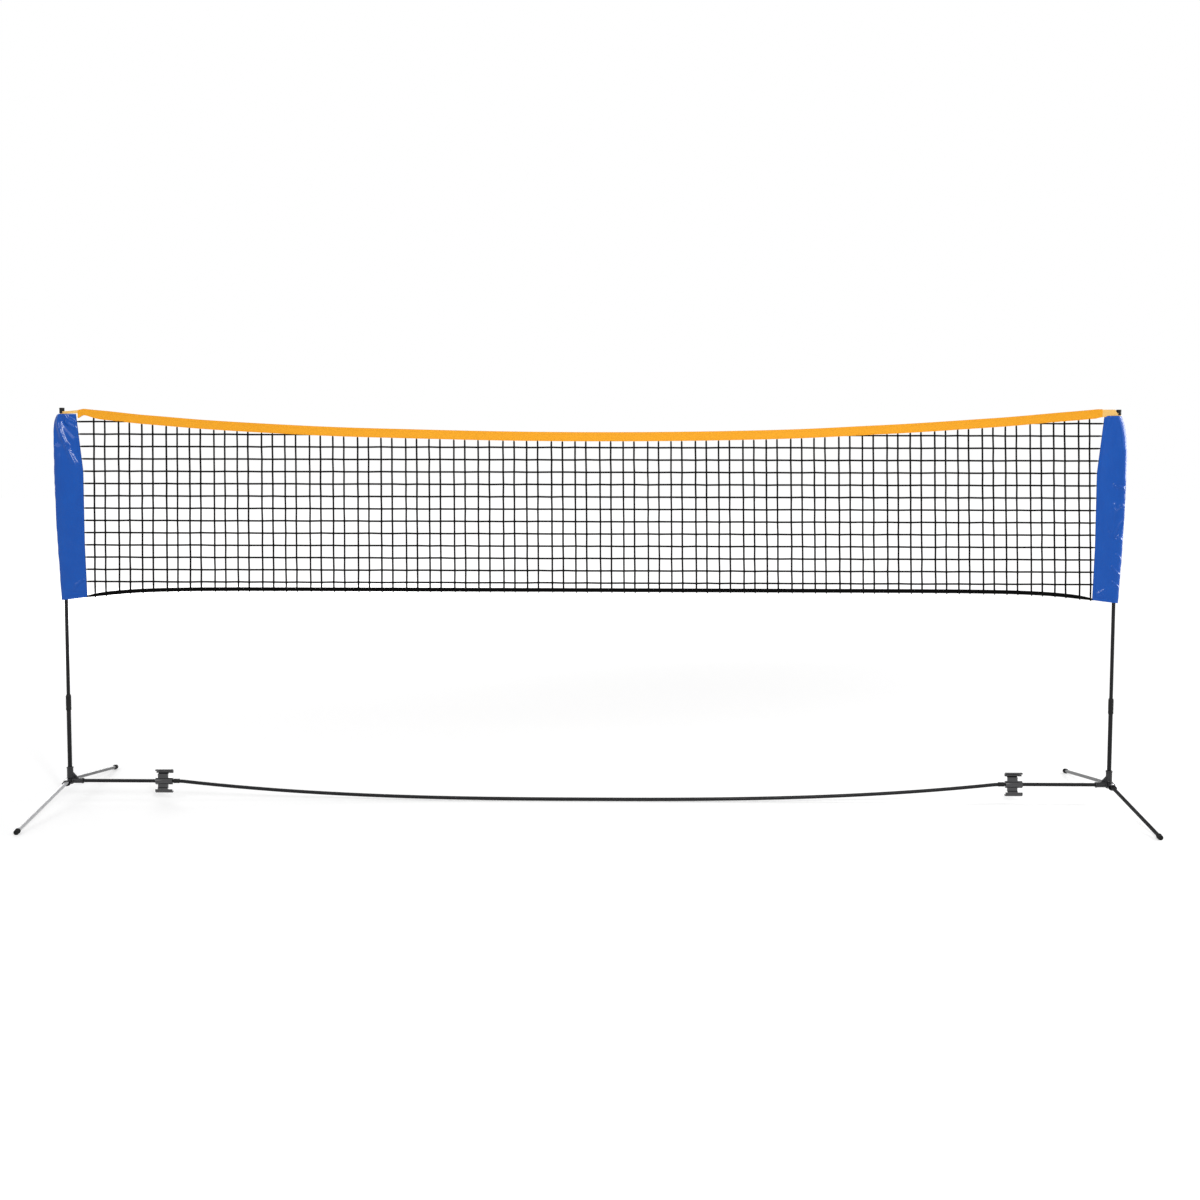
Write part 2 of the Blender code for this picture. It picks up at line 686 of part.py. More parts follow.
def sleeve_share(z):
    return (z - SLEEVE_BOTTOM) / (SLEEVE_TOP - SLEEVE_BOTTOM)


def sleeve_inner(z):
    """Distance from the middle of the net to a sleeve's inner edge at a height."""
    share = sleeve_share(z)
    rise = SLEEVE_INNER_RISE * min(share / SLEEVE_INNER_RISE_SHARE, 1.0)
    gathered = max(share - SLEEVE_INNER_PULL_START, 0.0) / (1 - SLEEVE_INNER_PULL_START)
    return NET_HALF + rise + SLEEVE_INNER_PULL * gathered


def column_spot(u, z):
    """A point of the net at a height, with the columns spread from sleeve to sleeve."""
    return Vector(((2 * u - 1) * (sleeve_inner(z) - SOFT_GAP), 0, z))


def band_spot(u, v):
    middle = band_height((2 * u - 1) * NET_HALF)
    return column_spot(u, middle + BAND_WIDTH * (v - 0.5))


def net_spot(u, v):
    """The net's crossings: level rows between the band and the tape."""
    row = round(v * NET_ROWS)
    x = (2 * u - 1) * NET_HALF
    if row == 0:
        return column_spot(u, band_height(x) + BAND_WIDTH / 2 + SOFT_GAP)
    if row == NET_ROWS:
        return column_spot(u, tape_edge(x) - TAPE_WIDTH - SOFT_GAP)
    return column_spot(u, LOWEST_ROW + ROW_PITCH * (row - 1))


def sleeve_outer(share):
    """How far a sleeve reaches past its post's axis, fullest below its gathered top."""
    belly = SLEEVE_BELLY * math.sin(math.pi / 2 * min(share / SLEEVE_BELLY_SHARE, 1.0))
    gathered = max(share - SLEEVE_BELLY_SHARE, 0.0) / (1 - SLEEVE_BELLY_SHARE)
    return POST_X + SLEEVE_OUTER + belly - SLEEVE_TOP_PULL * gathered**SLEEVE_TOP_PULL_POWER


def sleeve_folds(side, across, share):
    """The main folds: from the gathered top corner they run down and across, and fade out."""
    down = FOLDS_DOWN_LEFT if side < 0 else FOLDS_DOWN_RIGHT
    slant = FOLDS_ACROSS * across + down * (1 - share)
    middle = math.sin(math.pi * across)
    gathers = share**2 * middle * math.sin(2 * math.pi * slant)
    hem = HEM_FOLD_SHARE * (1 - share) ** HEM_FOLD_POWER * middle * math.sin(HEM_FOLDS * across)
    return SLEEVE_FOLD * (gathers + hem)


def sleeve_mesh(side):
    """A cloth pocket, rolled round its post and closed at the net."""

    def spot(u, v):
        angle = 2 * math.pi * u
        across = 0.5 - 0.5 * math.cos(angle)
        front = 1.0 if math.sin(angle) < 0 else -1.0
        at_edge = min(across, 1 - across) < TOUCHING
        low = SLEEVE_BOTTOM + SLEEVE_SLANT * across
        z = low + (SLEEVE_TOP - low) * v
        outer = sleeve_outer(v)
        x = outer + (sleeve_inner(z) - outer) * across
        bulge = math.sin(math.pi * across**SLEEVE_FULLEST_POWER) ** SLEEVE_ROUNDNESS
        depth = 0.0 if at_edge else max(SLEEVE_HALF_DEPTH * bulge, SLEEVE_EDGE)
        y = front * depth + (0.0 if at_edge else sleeve_folds(side, across, v))
        return Vector((side * x, y, z))

    name = "sleeve_left" if side < 0 else "sleeve_right"
    return sheet(name, SLEEVE_AROUND, SLEEVE_LEVELS, spot, SLEEVE_WALL, -1, rolled=True)


def loop_middle():
    """Height of the webbing loops' middle, a little under the posts' caps."""
    return POST_TOP - CAP_LENGTH - SOFT_GAP - TAPE_END_WIDTH / 2


def loop_mesh(side):
    """A webbing loop from the end of the tape round its post."""
    around = POST_UPPER_RADIUS + LOOP_REST
    length = POST_X + around - TAPE_HALF - CLEARANCE

    def spot(u, v):
        angle = 2 * math.pi * u
        across = 0.5 - 0.5 * math.cos(angle)
        front = 1.0 if math.sin(angle) < 0 else -1.0
        reach = length * across
        if reach < around:
            half = math.sqrt(around**2 - (around - reach) ** 2)
        else:
            share = (reach - around) / (length - around)
            half = around + (LOOP_TIP - around) * share
        half = 0.0 if min(across, 1 - across) < TOUCHING else half
        z = loop_middle() + TAPE_END_WIDTH * (v - 0.5)
        return Vector((side * (POST_X + around - reach), front * half, z))

    return sheet("loop", SLEEVE_AROUND, 1, spot, LOOP_WALL, -1, rolled=True)


def build_base(side_name, side, meshes):
    """One end of the stand: hub, lower post, lock, stub, ferrule, clip, legs, pins and feet."""
    turn = Matrix.Rotation(0.0 if side < 0 else math.pi, 4, "Z")
    at_hub = Matrix.Translation((side * POST_X, 0, HUB_HEIGHT)) @ turn
    place(f"base_hub_{side_name}", meshes["hub"], HUB_PLASTIC, at_hub)
    place(f"post_lower_{side_name}", meshes["post_lower"], BLACK_TUBE, at_hub)
    at_lock = Matrix.Translation((side * POST_X, 0, POST_LOWER_TOP))
    place(f"height_lock_{side_name}", meshes["lock"], CAP_PLASTIC, at_lock)
    place(f"rail_stub_{side_name}", meshes["stub"], BLACK_TUBE, at_hub @ ALONG_X)
    at_joint = Matrix.Translation((side * STUB_END, 0, HUB_HEIGHT)) @ ALONG_X
    place(f"rail_ferrule_{side_name}", meshes["ferrule"], CAP_PLASTIC, at_joint)
    at_clip = Matrix.Translation((side * CLIP_CENTRE, 0, HUB_HEIGHT))
    place(f"storage_clip_{side_name}", meshes["clip"], CLIP_PLASTIC, at_clip)
    mirrored = Matrix.Rotation(0.0 if side > 0 else math.pi, 4, "Z")
    place(f"rail_outer_{side_name}", meshes["rail_outer"], BLACK_TUBE, mirrored)
    place(f"rail_middle_{side_name}", meshes["rail_middle"], BLACK_TUBE, mirrored)
    for end_name, front in (("front", True), ("rear", False)):
        at_leg = Matrix.Translation((side * POST_X, 0, HUB_HEIGHT)) @ leg_frame(front)
        leg_name = f"leg_{end_name}_{side_name}"
        leg = place(leg_name, meshes["leg"], DARK_TUBE, at_leg)
        bpy.context.view_layer.update()
        place(f"foot_{end_name}_{side_name}", meshes["foot"], FOOT_RUBBER, at_leg, leg)
        place(f"leg_pin_{end_name}_{side_name}", meshes["pin"], RIVET_STEEL, at_leg)


def build_upper_post(side_name, side, meshes, slide):
    """The sliding half of a post, with its guide and its cap."""
    foot = Matrix.Translation((side * POST_X, 0, POST_UPPER_BOTTOM))
    top = Matrix.Translation((side * POST_X, 0, POST_TOP))
    place(f"post_upper_{side_name}", meshes["post_upper"], BLACK_TUBE, foot, slide)
    place(f"post_guide_{side_name}", meshes["guide"], CAP_PLASTIC, foot, slide)
    place(f"post_cap_{side_name}", meshes["cap"], CAP_PLASTIC, top, slide)


def build_net(slide):
    """The net with its tape, band, sleeves and loops, all carried by the sliding posts."""
    holes = STRAND_WIDTH / 2
    net = sheet("net", NET_COLUMNS, NET_ROWS, net_spot, STRAND_THICKNESS, 0, holes=holes)
    tape = sheet("tape", STRIP_CELLS, 1, tape_spot, TAPE_THICKNESS, 0)
    band = sheet("band", NET_COLUMNS, 1, band_spot, BAND_THICKNESS, 0)
    place("net_mesh", net, NET_CORD, parent=slide)
    place("top_tape", tape, ORANGE_TAPE, parent=slide)
    place("bottom_band", band, BLACK_WEBBING, parent=slide)
    for side_name, side in (("left", -1), ("right", 1)):
        place(f"net_sleeve_{side_name}", sleeve_mesh(side), BLUE_NYLON, parent=slide)
        place(f"tape_loop_{side_name}", loop_mesh(side), ORANGE_TAPE, parent=slide)


def shared_meshes():
    """The pieces that both ends use, each modelled once in its own axes."""
    stub_length = POST_X - STUB_END
    lower_length = POST_LOWER_TOP - HUB_HEIGHT
    upper_length = POST_TUBE_TOP - POST_UPPER_BOTTOM
    half_ferrule = FERRULE_LENGTH / 2
    ferrule_bore = bore_for(RAIL_RADIUS)
    post_foot = SOCKET_FLOOR + CLEARANCE
    stub_foot = RAIL_SOCKET_FLOOR + CLEARANCE
    return {
        "hub": hub_mesh(),
        "post_lower": mesh_of(
            tube("post_lower", POST_LOWER_RADIUS, POST_LOWER_BORE, post_foot, lower_length)
        ),
        "post_upper": mesh_of(
            tube("post_upper", POST_UPPER_RADIUS, POST_UPPER_RADIUS - WALL, 0, upper_length)
        ),
        "lock": lock_mesh(),
        "guide": guide_mesh(),
        "cap": cap_mesh(),
        "stub": mesh_of(tube("stub", RAIL_RADIUS, RAIL_BORE, stub_foot, stub_length)),
        "ferrule": mesh_of(
            tube("ferrule", ferrule_bore + FERRULE_WALL, ferrule_bore, -half_ferrule, half_ferrule)
        ),
        "clip": clip_mesh(),
        "rail_outer": rail_section("rail_outer", STUB_END, RAIL_JOINT, RAIL_BEND),
        "rail_middle": rail_section(
            "rail_middle", RAIL_JOINT, JOINER_RIB / 2 + CLEARANCE, RAIL_JOINT - BEND_FROM_STUB
        ),
        "leg": leg_mesh(),
        "pin": pin_mesh(),
        "foot": foot_mesh(),
    }


def build():
    meshes = shared_meshes()
    for side_name, side in (("left", -1), ("right", 1)):
        build_base(side_name, side, meshes)
    at_middle = Matrix.Translation((0, 0, rail_height(0))) @ ALONG_X
    place("rail_joiner", joiner_mesh(), CAP_PLASTIC, at_middle)
    left_slide = empty_at("height_slide_left", (-POST_X, 0, POST_LOWER_TOP))
    right_slide = empty_at("height_slide_right", (POST_X, 0, POST_LOWER_TOP))
    build_upper_post("left", -1, meshes, left_slide)
    build_upper_post("right", 1, meshes, right_slide)
    build_net(left_slide)


build()
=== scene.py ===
# %% [markdown]
# # A badminton net on its folding stand
#
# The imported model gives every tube, hinge and hub at its real size. This lesson dresses it: turned and
# moulded pieces get round walls and soft edges, and the net, tape, band and sleeves are made again as
# cord and cloth. Everything is in metres, with +Z up and the net along X, so a piece goes where the
# model says and nothing is fitted by eye.

# %% Load the frame
import json
import math
import random

import bmesh
import bpy
from mathutils import Matrix, Vector, noise


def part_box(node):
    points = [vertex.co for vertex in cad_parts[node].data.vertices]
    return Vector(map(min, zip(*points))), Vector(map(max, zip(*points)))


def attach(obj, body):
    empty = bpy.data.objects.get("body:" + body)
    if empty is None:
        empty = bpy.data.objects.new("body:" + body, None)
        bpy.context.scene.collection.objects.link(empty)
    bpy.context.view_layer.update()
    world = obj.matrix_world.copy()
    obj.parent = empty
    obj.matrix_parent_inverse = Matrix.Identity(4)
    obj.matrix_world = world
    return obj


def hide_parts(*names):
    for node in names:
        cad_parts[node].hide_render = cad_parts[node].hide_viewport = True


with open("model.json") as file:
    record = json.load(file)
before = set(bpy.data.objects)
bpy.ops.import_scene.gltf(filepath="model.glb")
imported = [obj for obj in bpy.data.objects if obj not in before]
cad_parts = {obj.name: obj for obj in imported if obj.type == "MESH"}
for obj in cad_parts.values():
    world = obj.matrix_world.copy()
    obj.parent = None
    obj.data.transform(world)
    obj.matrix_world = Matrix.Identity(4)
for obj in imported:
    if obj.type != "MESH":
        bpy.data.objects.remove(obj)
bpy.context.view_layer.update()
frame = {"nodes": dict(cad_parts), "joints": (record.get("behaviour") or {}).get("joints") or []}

JOINTS = {joint["name"]: joint for joint in frame["joints"]}

# %% [markdown]
# ## The camera
#
# A photograph fixes where its camera stood. Upright posts, level net cords and four feet on one floor
# give the place, the tilt and the focal length, and the picture was cropped off-centre, which is a
# small lens shift. The camera comes first, because every later look is judged through it.

# %% Put the camera where the photographer stood
PICTURE_PIXELS = 1200
FOCAL_PIXELS = 1318.8
OPTICAL_CENTRE = (591.1, 529.3)
SENSOR_MM = 36.0
CAMERA_PLACE = (0.055, -5.222, 1.421)
CAMERA_DIP = math.radians(3.58)
CAMERA_PAN = math.radians(0.49)
CAMERA_ROLL = math.radians(-0.12)

camera_data = bpy.data.cameras.new("portrait_camera")
camera_data.sensor_width = SENSOR_MM
camera_data.lens = FOCAL_PIXELS / PICTURE_PIXELS * SENSOR_MM
camera_data.shift_x = 0.5 - OPTICAL_CENTRE[0] / PICTURE_PIXELS
camera_data.shift_y = OPTICAL_CENTRE[1] / PICTURE_PIXELS - 0.5
camera = bpy.data.objects.new("portrait_camera", camera_data)
camera.location = CAMERA_PLACE
camera.rotation_euler = (math.pi / 2 - CAMERA_DIP, CAMERA_ROLL, CAMERA_PAN)
bpy.context.scene.collection.objects.link(camera)
bpy.context.scene.camera = camera
print(f"lens {camera_data.lens:.1f} mm")

# %% [markdown]
# ## Helpers for meshes and nodes
#
# Two short helpers put an object in the scene. The others add a node, set it and wire it in one call,
# which keeps the light, the floor and the materials readable.

# %% Mesh and node helpers


def linked(name, data):
    """An object of the data, in the scene."""
    made = bpy.data.objects.new(name, data)
    bpy.context.scene.collection.objects.link(made)
    return made


def from_bmesh(name, shape):
    mesh = bpy.data.meshes.new(name)
    shape.to_mesh(mesh)
    shape.free()
    return linked(name, mesh)


def add_node(tree, kind, inputs=None, **settings):
    """A node with its settings made and each input either linked or set."""
    made = tree.nodes.new(kind)
    for name, value in settings.items():
        setattr(made, name, value)
    for name, value in (inputs or {}).items():
        if isinstance(value, bpy.types.NodeSocket):
            tree.links.new(value, made.inputs[name])
        else:
            made.inputs[name].default_value = value
    return made


def math_node(tree, operation, *values):
    """The result of a Math node on sockets or numbers."""
    return add_node(tree, "ShaderNodeMath", dict(enumerate(values)), operation=operation).outputs[0]


def range_node(tree, value, source, target=(0.0, 1.0), **settings):
    """A value carried from one range to another."""
    inputs = {"Value": value, "From Min": source[0], "From Max": source[1]}
    inputs.update({"To Min": target[0], "To Max": target[1]})
    return add_node(tree, "ShaderNodeMapRange", inputs, **settings).outputs[0]


def noise_node(tree, place, scale, detail):
    inputs = {"Vector": place, "Scale": scale, "Detail": detail}
    return add_node(tree, "ShaderNodeTexNoise", inputs).outputs["Fac"]


def mix_node(tree, share, *colours, blend="MIX"):
    """Two colours mixed by a share, each one plain or from a socket."""
    inputs = {0: share}
    for socket, colour in zip((6, 7), colours):
        inputs[socket] = (*colour, 1) if isinstance(colour, tuple) else colour
    return add_node(tree, "ShaderNodeMix", inputs, data_type="RGBA", blend_type=blend).outputs[2]


def new_finish(name, roughness, metallic=0.0, specular=0.5):
    """A material, its tree and its shader, with the plain values set on the shader's own sockets."""
    made = bpy.data.materials.new(name)
    made.use_nodes = True
    shader = made.node_tree.nodes["Principled BSDF"]
    shader.inputs["Roughness"].default_value = roughness
    shader.inputs["Metallic"].default_value = metallic
    shader.inputs["Specular IOR Level"].default_value = specular
    return made, made.node_tree, shader


# %% [markdown]
# ## Studio
#
# Soft light from a pale room shows form without hard shadows. One tall softbox stands past the right
# post: its reflection is the pale streak down the outer edge of the right sleeve. A narrow strip in
# front glints on the folds of the left sleeve. The largest stands far behind on the left, because long
# glossy tubes that point at the camera mirror what is behind them. The floor and the room are white to
# the camera and in reflections, so that the white costs the object no extra light. Away from the object
# the floor is whitened more, because the lamps don't reach there, and close to it the shadows stay.

# %% Light the room
WHITE = (1, 1, 1, 1)
ROOM_LIGHT = 0.45
SOFTBOXES = [
    ("front_softbox", (3.6, 2.4), 77, (0.9, -5.0, 4.3), (0.0, 0.0, 0.8)),
    ("fold_strip", (0.46, 1.35), 98, (1.1, -5.2, 3.3), (-1.0, 0.0, 1.0)),
    ("right_softbox", (0.8, 2.6), 96, (5.2, 0.6, 2.0), (2.0, 0.0, 1.1)),
    ("left_softbox", (1.8, 1.8), 25, (-4.6, -3.4, 2.8), (-1.2, 0.0, 0.9)),
    ("rear_softbox", (5.0, 4.2), 280, (-4.8, 7.0, 2.9), (-2.1, -0.3, 0.1)),
]


def only_seen(tree, strength):
    """The strength on camera, glossy and transmission rays, and none on the rays that light things."""
    rays = tree.nodes.new("ShaderNodeLightPath").outputs
    seen = rays["Is Camera Ray"]
    for kind in ("Is Glossy Ray", "Is Transmission Ray"):
        seen = math_node(tree, "MAXIMUM", seen, rays[kind])
    return math_node(tree, "MULTIPLY", seen, strength)


world = bpy.data.worlds.new("pale_room")
world.use_nodes = True
room = world.node_tree
backdrop = room.nodes["Background"].inputs
level = math_node(room, "ADD", only_seen(room, 1.0 - ROOM_LIGHT), ROOM_LIGHT)
room.links.new(level, backdrop["Strength"])
backdrop["Color"].default_value = WHITE
bpy.context.scene.world = world
bpy.context.scene.view_settings.view_transform = "Standard"

for name, (width, height), watts, place, target in SOFTBOXES:
    lamp = bpy.data.lights.new(name, "AREA")
    lamp.shape = "RECTANGLE"
    lamp.size = width
    lamp.size_y = height
    lamp.energy = watts
    holder = linked(name, lamp)
    holder.location = place
    holder.rotation_euler = (Vector(target) - Vector(place)).to_track_quat("-Z", "Y").to_euler()
    holder.visible_camera = False

# %% Lay the floor
FLOOR_SIZE = 60.0
FLOOR_GREY = 0.80
FLOOR_ROUGHNESS = 0.9
FLOOR_LIFT = (0.34, 0.75)
FLOOR_LIFT_REACH = (2.4, 8.0)

ground = bmesh.new()
bmesh.ops.create_grid(ground, x_segments=1, y_segments=1, size=FLOOR_SIZE / 2)
floor = from_bmesh("floor", ground)
floor_paint, tree, paint = new_finish("pale_floor", FLOOR_ROUGHNESS, specular=0.0)
paint.inputs["Base Color"].default_value = (FLOOR_GREY, FLOOR_GREY, FLOOR_GREY, 1)
paint.inputs["Emission Color"].default_value = WHITE
spot = tree.nodes.new("ShaderNodeTexCoord").outputs["Object"]
distance = add_node(tree, "ShaderNodeVectorMath", {0: spot}, operation="LENGTH").outputs["Value"]
lift = range_node(tree, distance, FLOOR_LIFT_REACH, FLOOR_LIFT, interpolation_type="SMOOTHSTEP")
tree.links.new(only_seen(tree, lift), paint.inputs["Emission Strength"])
floor.data.materials.append(floor_paint)
print("studio:", len(SOFTBOXES), "softboxes")

# %% [markdown]
# ## Shared effects
#
# A real surface is never one flat colour. Three effects come back on several materials, so each is a
# node group with its own inputs: a fine grain for paint and moulded plastic, long thin scuffs where
# pieces slide on each other, and a weave for cloth and webbing.

# %% Start a group


def effect_group(name, inputs, outputs):
    """An empty node group with its named sockets, and its own inner ends."""
    group = bpy.data.node_groups.new(name, "ShaderNodeTree")
    for label, kind, value in inputs:
        group.interface.new_socket(label, in_out="INPUT", socket_type=kind).default_value = value
    for label in outputs:
        group.interface.new_socket(label, in_out="OUTPUT", socket_type="NodeSocketFloat")
    return group, group.nodes.new("NodeGroupInput").outputs, group.nodes.new("NodeGroupOutput").inputs


# %% Grain, for paint and plastic
BROAD_SHARE = 0.04

GRAIN, grain_in, grain_out = effect_group(
    "surface_grain", [("Scale", "NodeSocketFloat", 900.0)], ["Height", "Mottle"]
)
place = GRAIN.nodes.new("ShaderNodeTexCoord").outputs["Object"]
broad = math_node(GRAIN, "MULTIPLY", grain_in["Scale"], BROAD_SHARE)
GRAIN.links.new(noise_node(GRAIN, place, grain_in["Scale"], 2.0), grain_out["Height"])
GRAIN.links.new(noise_node(GRAIN, place, broad, 3.0), grain_out["Mottle"])
print("grain group:", len(GRAIN.nodes), "nodes")

# %% Scuffs, for what slides or is handled
SCUFF_RANGE = (0.34, 0.46)

SCUFFS, scuff_in, scuff_out = effect_group(
    "handling_scuffs",
    [("Stretch", "NodeSocketVector", (1.0, 1.0, 1.0)), ("Amount", "NodeSocketFloat", 0.5)],
    ["Mask"],
)
place = SCUFFS.nodes.new("ShaderNodeTexCoord").outputs["Object"]
drawn = add_node(SCUFFS, "ShaderNodeVectorMath", {0: place, 1: scuff_in["Stretch"]}, operation="MULTIPLY")
streaks = noise_node(SCUFFS, drawn.outputs[0], 1.0, 6.0)
both = math_node(SCUFFS, "MULTIPLY", streaks, noise_node(SCUFFS, place, 9.0, 2.0))
shown = math_node(SCUFFS, "MULTIPLY", range_node(SCUFFS, both, SCUFF_RANGE), scuff_in["Amount"])
SCUFFS.links.new(shown, scuff_out["Mask"])
print("scuff group:", len(SCUFFS.nodes), "nodes")

# %% Weave, for cloth and webbing
WEAVE, weave_in, weave_out = effect_group(
    "plain_weave",
    [("Cloth", "NodeSocketVector", (0.0, 0.0, 0.0)), ("Threads", "NodeSocketFloat", 1000.0)],
    ["Height", "Fade"],
)
count = {0: weave_in["Cloth"], "Scale": weave_in["Threads"]}
counted = add_node(WEAVE, "ShaderNodeVectorMath", count, operation="SCALE").outputs[0]
split = add_node(WEAVE, "ShaderNodeSeparateXYZ", {0: counted}).outputs
turns = [math_node(WEAVE, "MULTIPLY", split[axis], math.pi) for axis in ("X", "Y")]
crossed = math_node(WEAVE, "MULTIPLY", *[math_node(WEAVE, "SINE", turn) for turn in turns])
WEAVE.links.new(range_node(WEAVE, crossed, (-1.0, 1.0)), weave_out["Height"])
WEAVE.links.new(noise_node(WEAVE, weave_in["Cloth"], 14.0, 3.0), weave_out["Fade"])
print("weave group:", len(WEAVE.nodes), "nodes")

# %% [markdown]
# ## Finishes
#
# Each finish is one material. Hard pieces take their grain from Object coordinates, because a turned
# tube has no seams to follow. Cloth follows its own UV map, scaled to the real size of the cut, so the
# threads keep their size wherever the cloth bends.

# %% Painted steel and moulded plastic
MOTTLE_TONES = (0.72, 1.28)
MOTTLE_RANGE = (0.3, 0.7)
MOTTLE_GLOSS = (0.82, 1.2)
GRAIN_STRENGTH = 0.35
AROUND = (900.0, 900.0, 30.0)
ALONG = (30.0, 700.0, 700.0)
EVENLY = (60, 60, 60)
FINELY = (500, 500, 500)
HARD_FINISHES = {
    "black_tube": ((0.006, 0.006, 0.007), (0.022, 0.022, 0.024), 0.36, 0.2, 1100, 4e-5, AROUND, 0.5),
    "rail_tube": ((0.006, 0.006, 0.007), (0.024, 0.024, 0.026), 0.38, 0.2, 1100, 4e-5, ALONG, 0.6),
    "grey_tube": ((0.060, 0.061, 0.064), (0.13, 0.13, 0.135), 0.26, 0.6, 1300, 1e-5, ALONG, 0.4),
    # Painted sheen: a paler copy of the grey tube for the left front leg.
    "sheen_painted_tube": ((0.44, 0.44, 0.45), (0.52, 0.52, 0.53), 0.24, 0.6, 1300, 1e-5, ALONG, 0.4),
    # Painted shade: a near-black copy of the grey tube for the right front leg.
    "shade_painted_tube": ((0.005, 0.005, 0.006), (0.020, 0.020, 0.022), 0.55, 0.1, 1300, 1e-5, ALONG, 0.4),
    "hub_plastic": ((0.008, 0.008, 0.010), (0.028, 0.028, 0.031), 0.24, 0.45, 1500, 5e-5, EVENLY, 0.5),
    "clip_plastic": ((0.014, 0.014, 0.016), (0.06, 0.06, 0.064), 0.14, 0.8, 1500, 3e-5, EVENLY, 0.4),
    "cap_plastic": ((0.006, 0.006, 0.006), (0.024, 0.024, 0.026), 0.45, 0.2, 1500, 6e-5, EVENLY, 0.5),
    "foot_rubber": ((0.008, 0.008, 0.008), (0.050, 0.047, 0.042), 0.75, 0.2, 700, 9e-5, (80, 80, 80), 0.7),
    "rivet_steel": ((0.74, 0.74, 0.75), (0.80, 0.79, 0.77), 0.26, 0.5, 1900, 3e-5, FINELY, 0.4, 1.0),
}


def bumped(tree, shader, height, strength, depth):
    """Feeds a height to the shader's normal."""
    inputs = {"Height": height, "Strength": strength, "Distance": depth}
    tree.links.new(add_node(tree, "ShaderNodeBump", inputs).outputs["Normal"], shader.inputs["Normal"])


def hard_finish(name, colour, worn, roughness, specular, scale, depth, stretch, amount, metallic=0.0):
    """Paint or plastic: grain everywhere, and scuffs that show a worn colour."""
    made, tree, shader = new_finish(name, roughness, metallic, specular)
    grain = add_node(tree, "ShaderNodeGroup", {"Scale": scale}, node_tree=GRAIN).outputs
    handled = {"Stretch": stretch, "Amount": amount}
    scuffs = add_node(tree, "ShaderNodeGroup", handled, node_tree=SCUFFS).outputs
    tones = [tuple(part * tone for part in colour) for tone in MOTTLE_TONES]
    base = mix_node(tree, grain["Mottle"], *tones)
    tree.links.new(mix_node(tree, scuffs["Mask"], base, worn), shader.inputs["Base Color"])
    gloss = [roughness * share for share in MOTTLE_GLOSS]
    tree.links.new(range_node(tree, grain["Mottle"], MOTTLE_RANGE, gloss), shader.inputs["Roughness"])
    bumped(tree, shader, grain["Height"], GRAIN_STRENGTH, depth)
    return made


FINISH = {name: hard_finish(name, *values) for name, values in HARD_FINISHES.items()}

# %% Cloth, webbing and cord
WEAVE_SHADE = (0.86, 0.86, 0.86)
WEAVE_STRENGTH = 0.5
COAT_ROUGHNESS = 0.16
FUZZ_TONE = 1.7
LAY_STRENGTH = 0.6


def woven_finish(name, colour, faded, roughness, flat, threads, depth, specular=0.2, coat=0.0):
    """Cloth whose weave follows its UV map, with flat as the cut's real width and length."""
    made, tree, shader = new_finish(name, roughness, specular=specular)
    uv = add_node(tree, "ShaderNodeUVMap", uv_map="UVMap").outputs["UV"]
    cloth = add_node(tree, "ShaderNodeMapping", {"Vector": uv, "Scale": (*flat, 1.0)}).outputs[0]
    cut = {"Cloth": cloth, "Threads": threads}
    weave = add_node(tree, "ShaderNodeGroup", cut, node_tree=WEAVE).outputs
    base = mix_node(tree, weave["Fade"], colour, faded)
    # The weave's low points are darkened by WEAVE_SHADE: painted shade between the threads.
    shade = mix_node(tree, weave["Height"], WEAVE_SHADE, WHITE[:3])
    tree.links.new(mix_node(tree, 1.0, base, shade, blend="MULTIPLY"), shader.inputs["Base Color"])
    shader.inputs["Coat Weight"].default_value = coat
    shader.inputs["Coat Roughness"].default_value = COAT_ROUGHNESS
    bumped(tree, shader, weave["Height"], WEAVE_STRENGTH, depth)
    FINISH[name] = made


def twine_finish(name, colour, lay, depth):
    """Twisted cord: slanting bands across both runs of the net, at the pitch of the lay."""
    made, tree, shader = new_finish(name, 0.8, specular=0.05)
    place = tree.nodes.new("ShaderNodeTexCoord").outputs["Object"]
    lays = {"Vector": place, "Scale": 1.0 / lay}
    bands = add_node(tree, "ShaderNodeTexWave", lays, bands_direction="DIAGONAL").outputs["Fac"]
    pale = tuple(part * FUZZ_TONE for part in colour)
    fuzz = mix_node(tree, noise_node(tree, place, 60.0, 4.0), colour, pale)
    tree.links.new(fuzz, shader.inputs["Base Color"])
    bumped(tree, shader, bands, LAY_STRENGTH, depth)
    FINISH[name] = made


twine_finish("net_twine", (0.004, 0.004, 0.004), 0.006, 4e-4)
twine_finish("orange_thread", (0.62, 0.22, 0.012), 0.001, 1e-5)
twine_finish("blue_thread", (0.006, 0.040, 0.26), 0.001, 1e-5)
print("finishes:", len(FINISH))

# %% [markdown]
# ## Making pieces
#
# Most hard pieces are turned: a profile of radius and height, spun about Z. The others are outlines
# given a thickness, or solids joined and cut. Each piece is then moved to its place in the mesh itself,
# its normals are left pointing out, and it rides on the same body as the node that it stands for.

# %% Finish a piece
ROUND_SIDES = 64
TOUCHING = 1e-6


def settled(piece):
    """The piece as its modifiers or its bevel leave it, as a plain mesh object of the same name."""
    bpy.context.view_layer.update()
    final = piece.evaluated_get(bpy.context.evaluated_depsgraph_get())
    mesh = bpy.data.meshes.new_from_object(final)
    name = piece.name
    bpy.data.objects.remove(piece)
    mesh.name = name
    return linked(name, mesh)


def combined(piece, others, operation):
    """Joins or cuts with the others, and leaves a plain mesh."""
    for other in others:
        change = piece.modifiers.new("change", "BOOLEAN")
        change.operation = operation
        change.object = other
        change.solver = "EXACT"
    made = settled(piece)
    for other in others:
        bpy.data.objects.remove(other)
    return made


def to_bmesh(piece):
    """The piece's mesh as a shape to work on. The piece itself goes."""
    shape = bmesh.new()
    shape.from_mesh(piece.data)
    bpy.data.objects.remove(piece)
    return shape


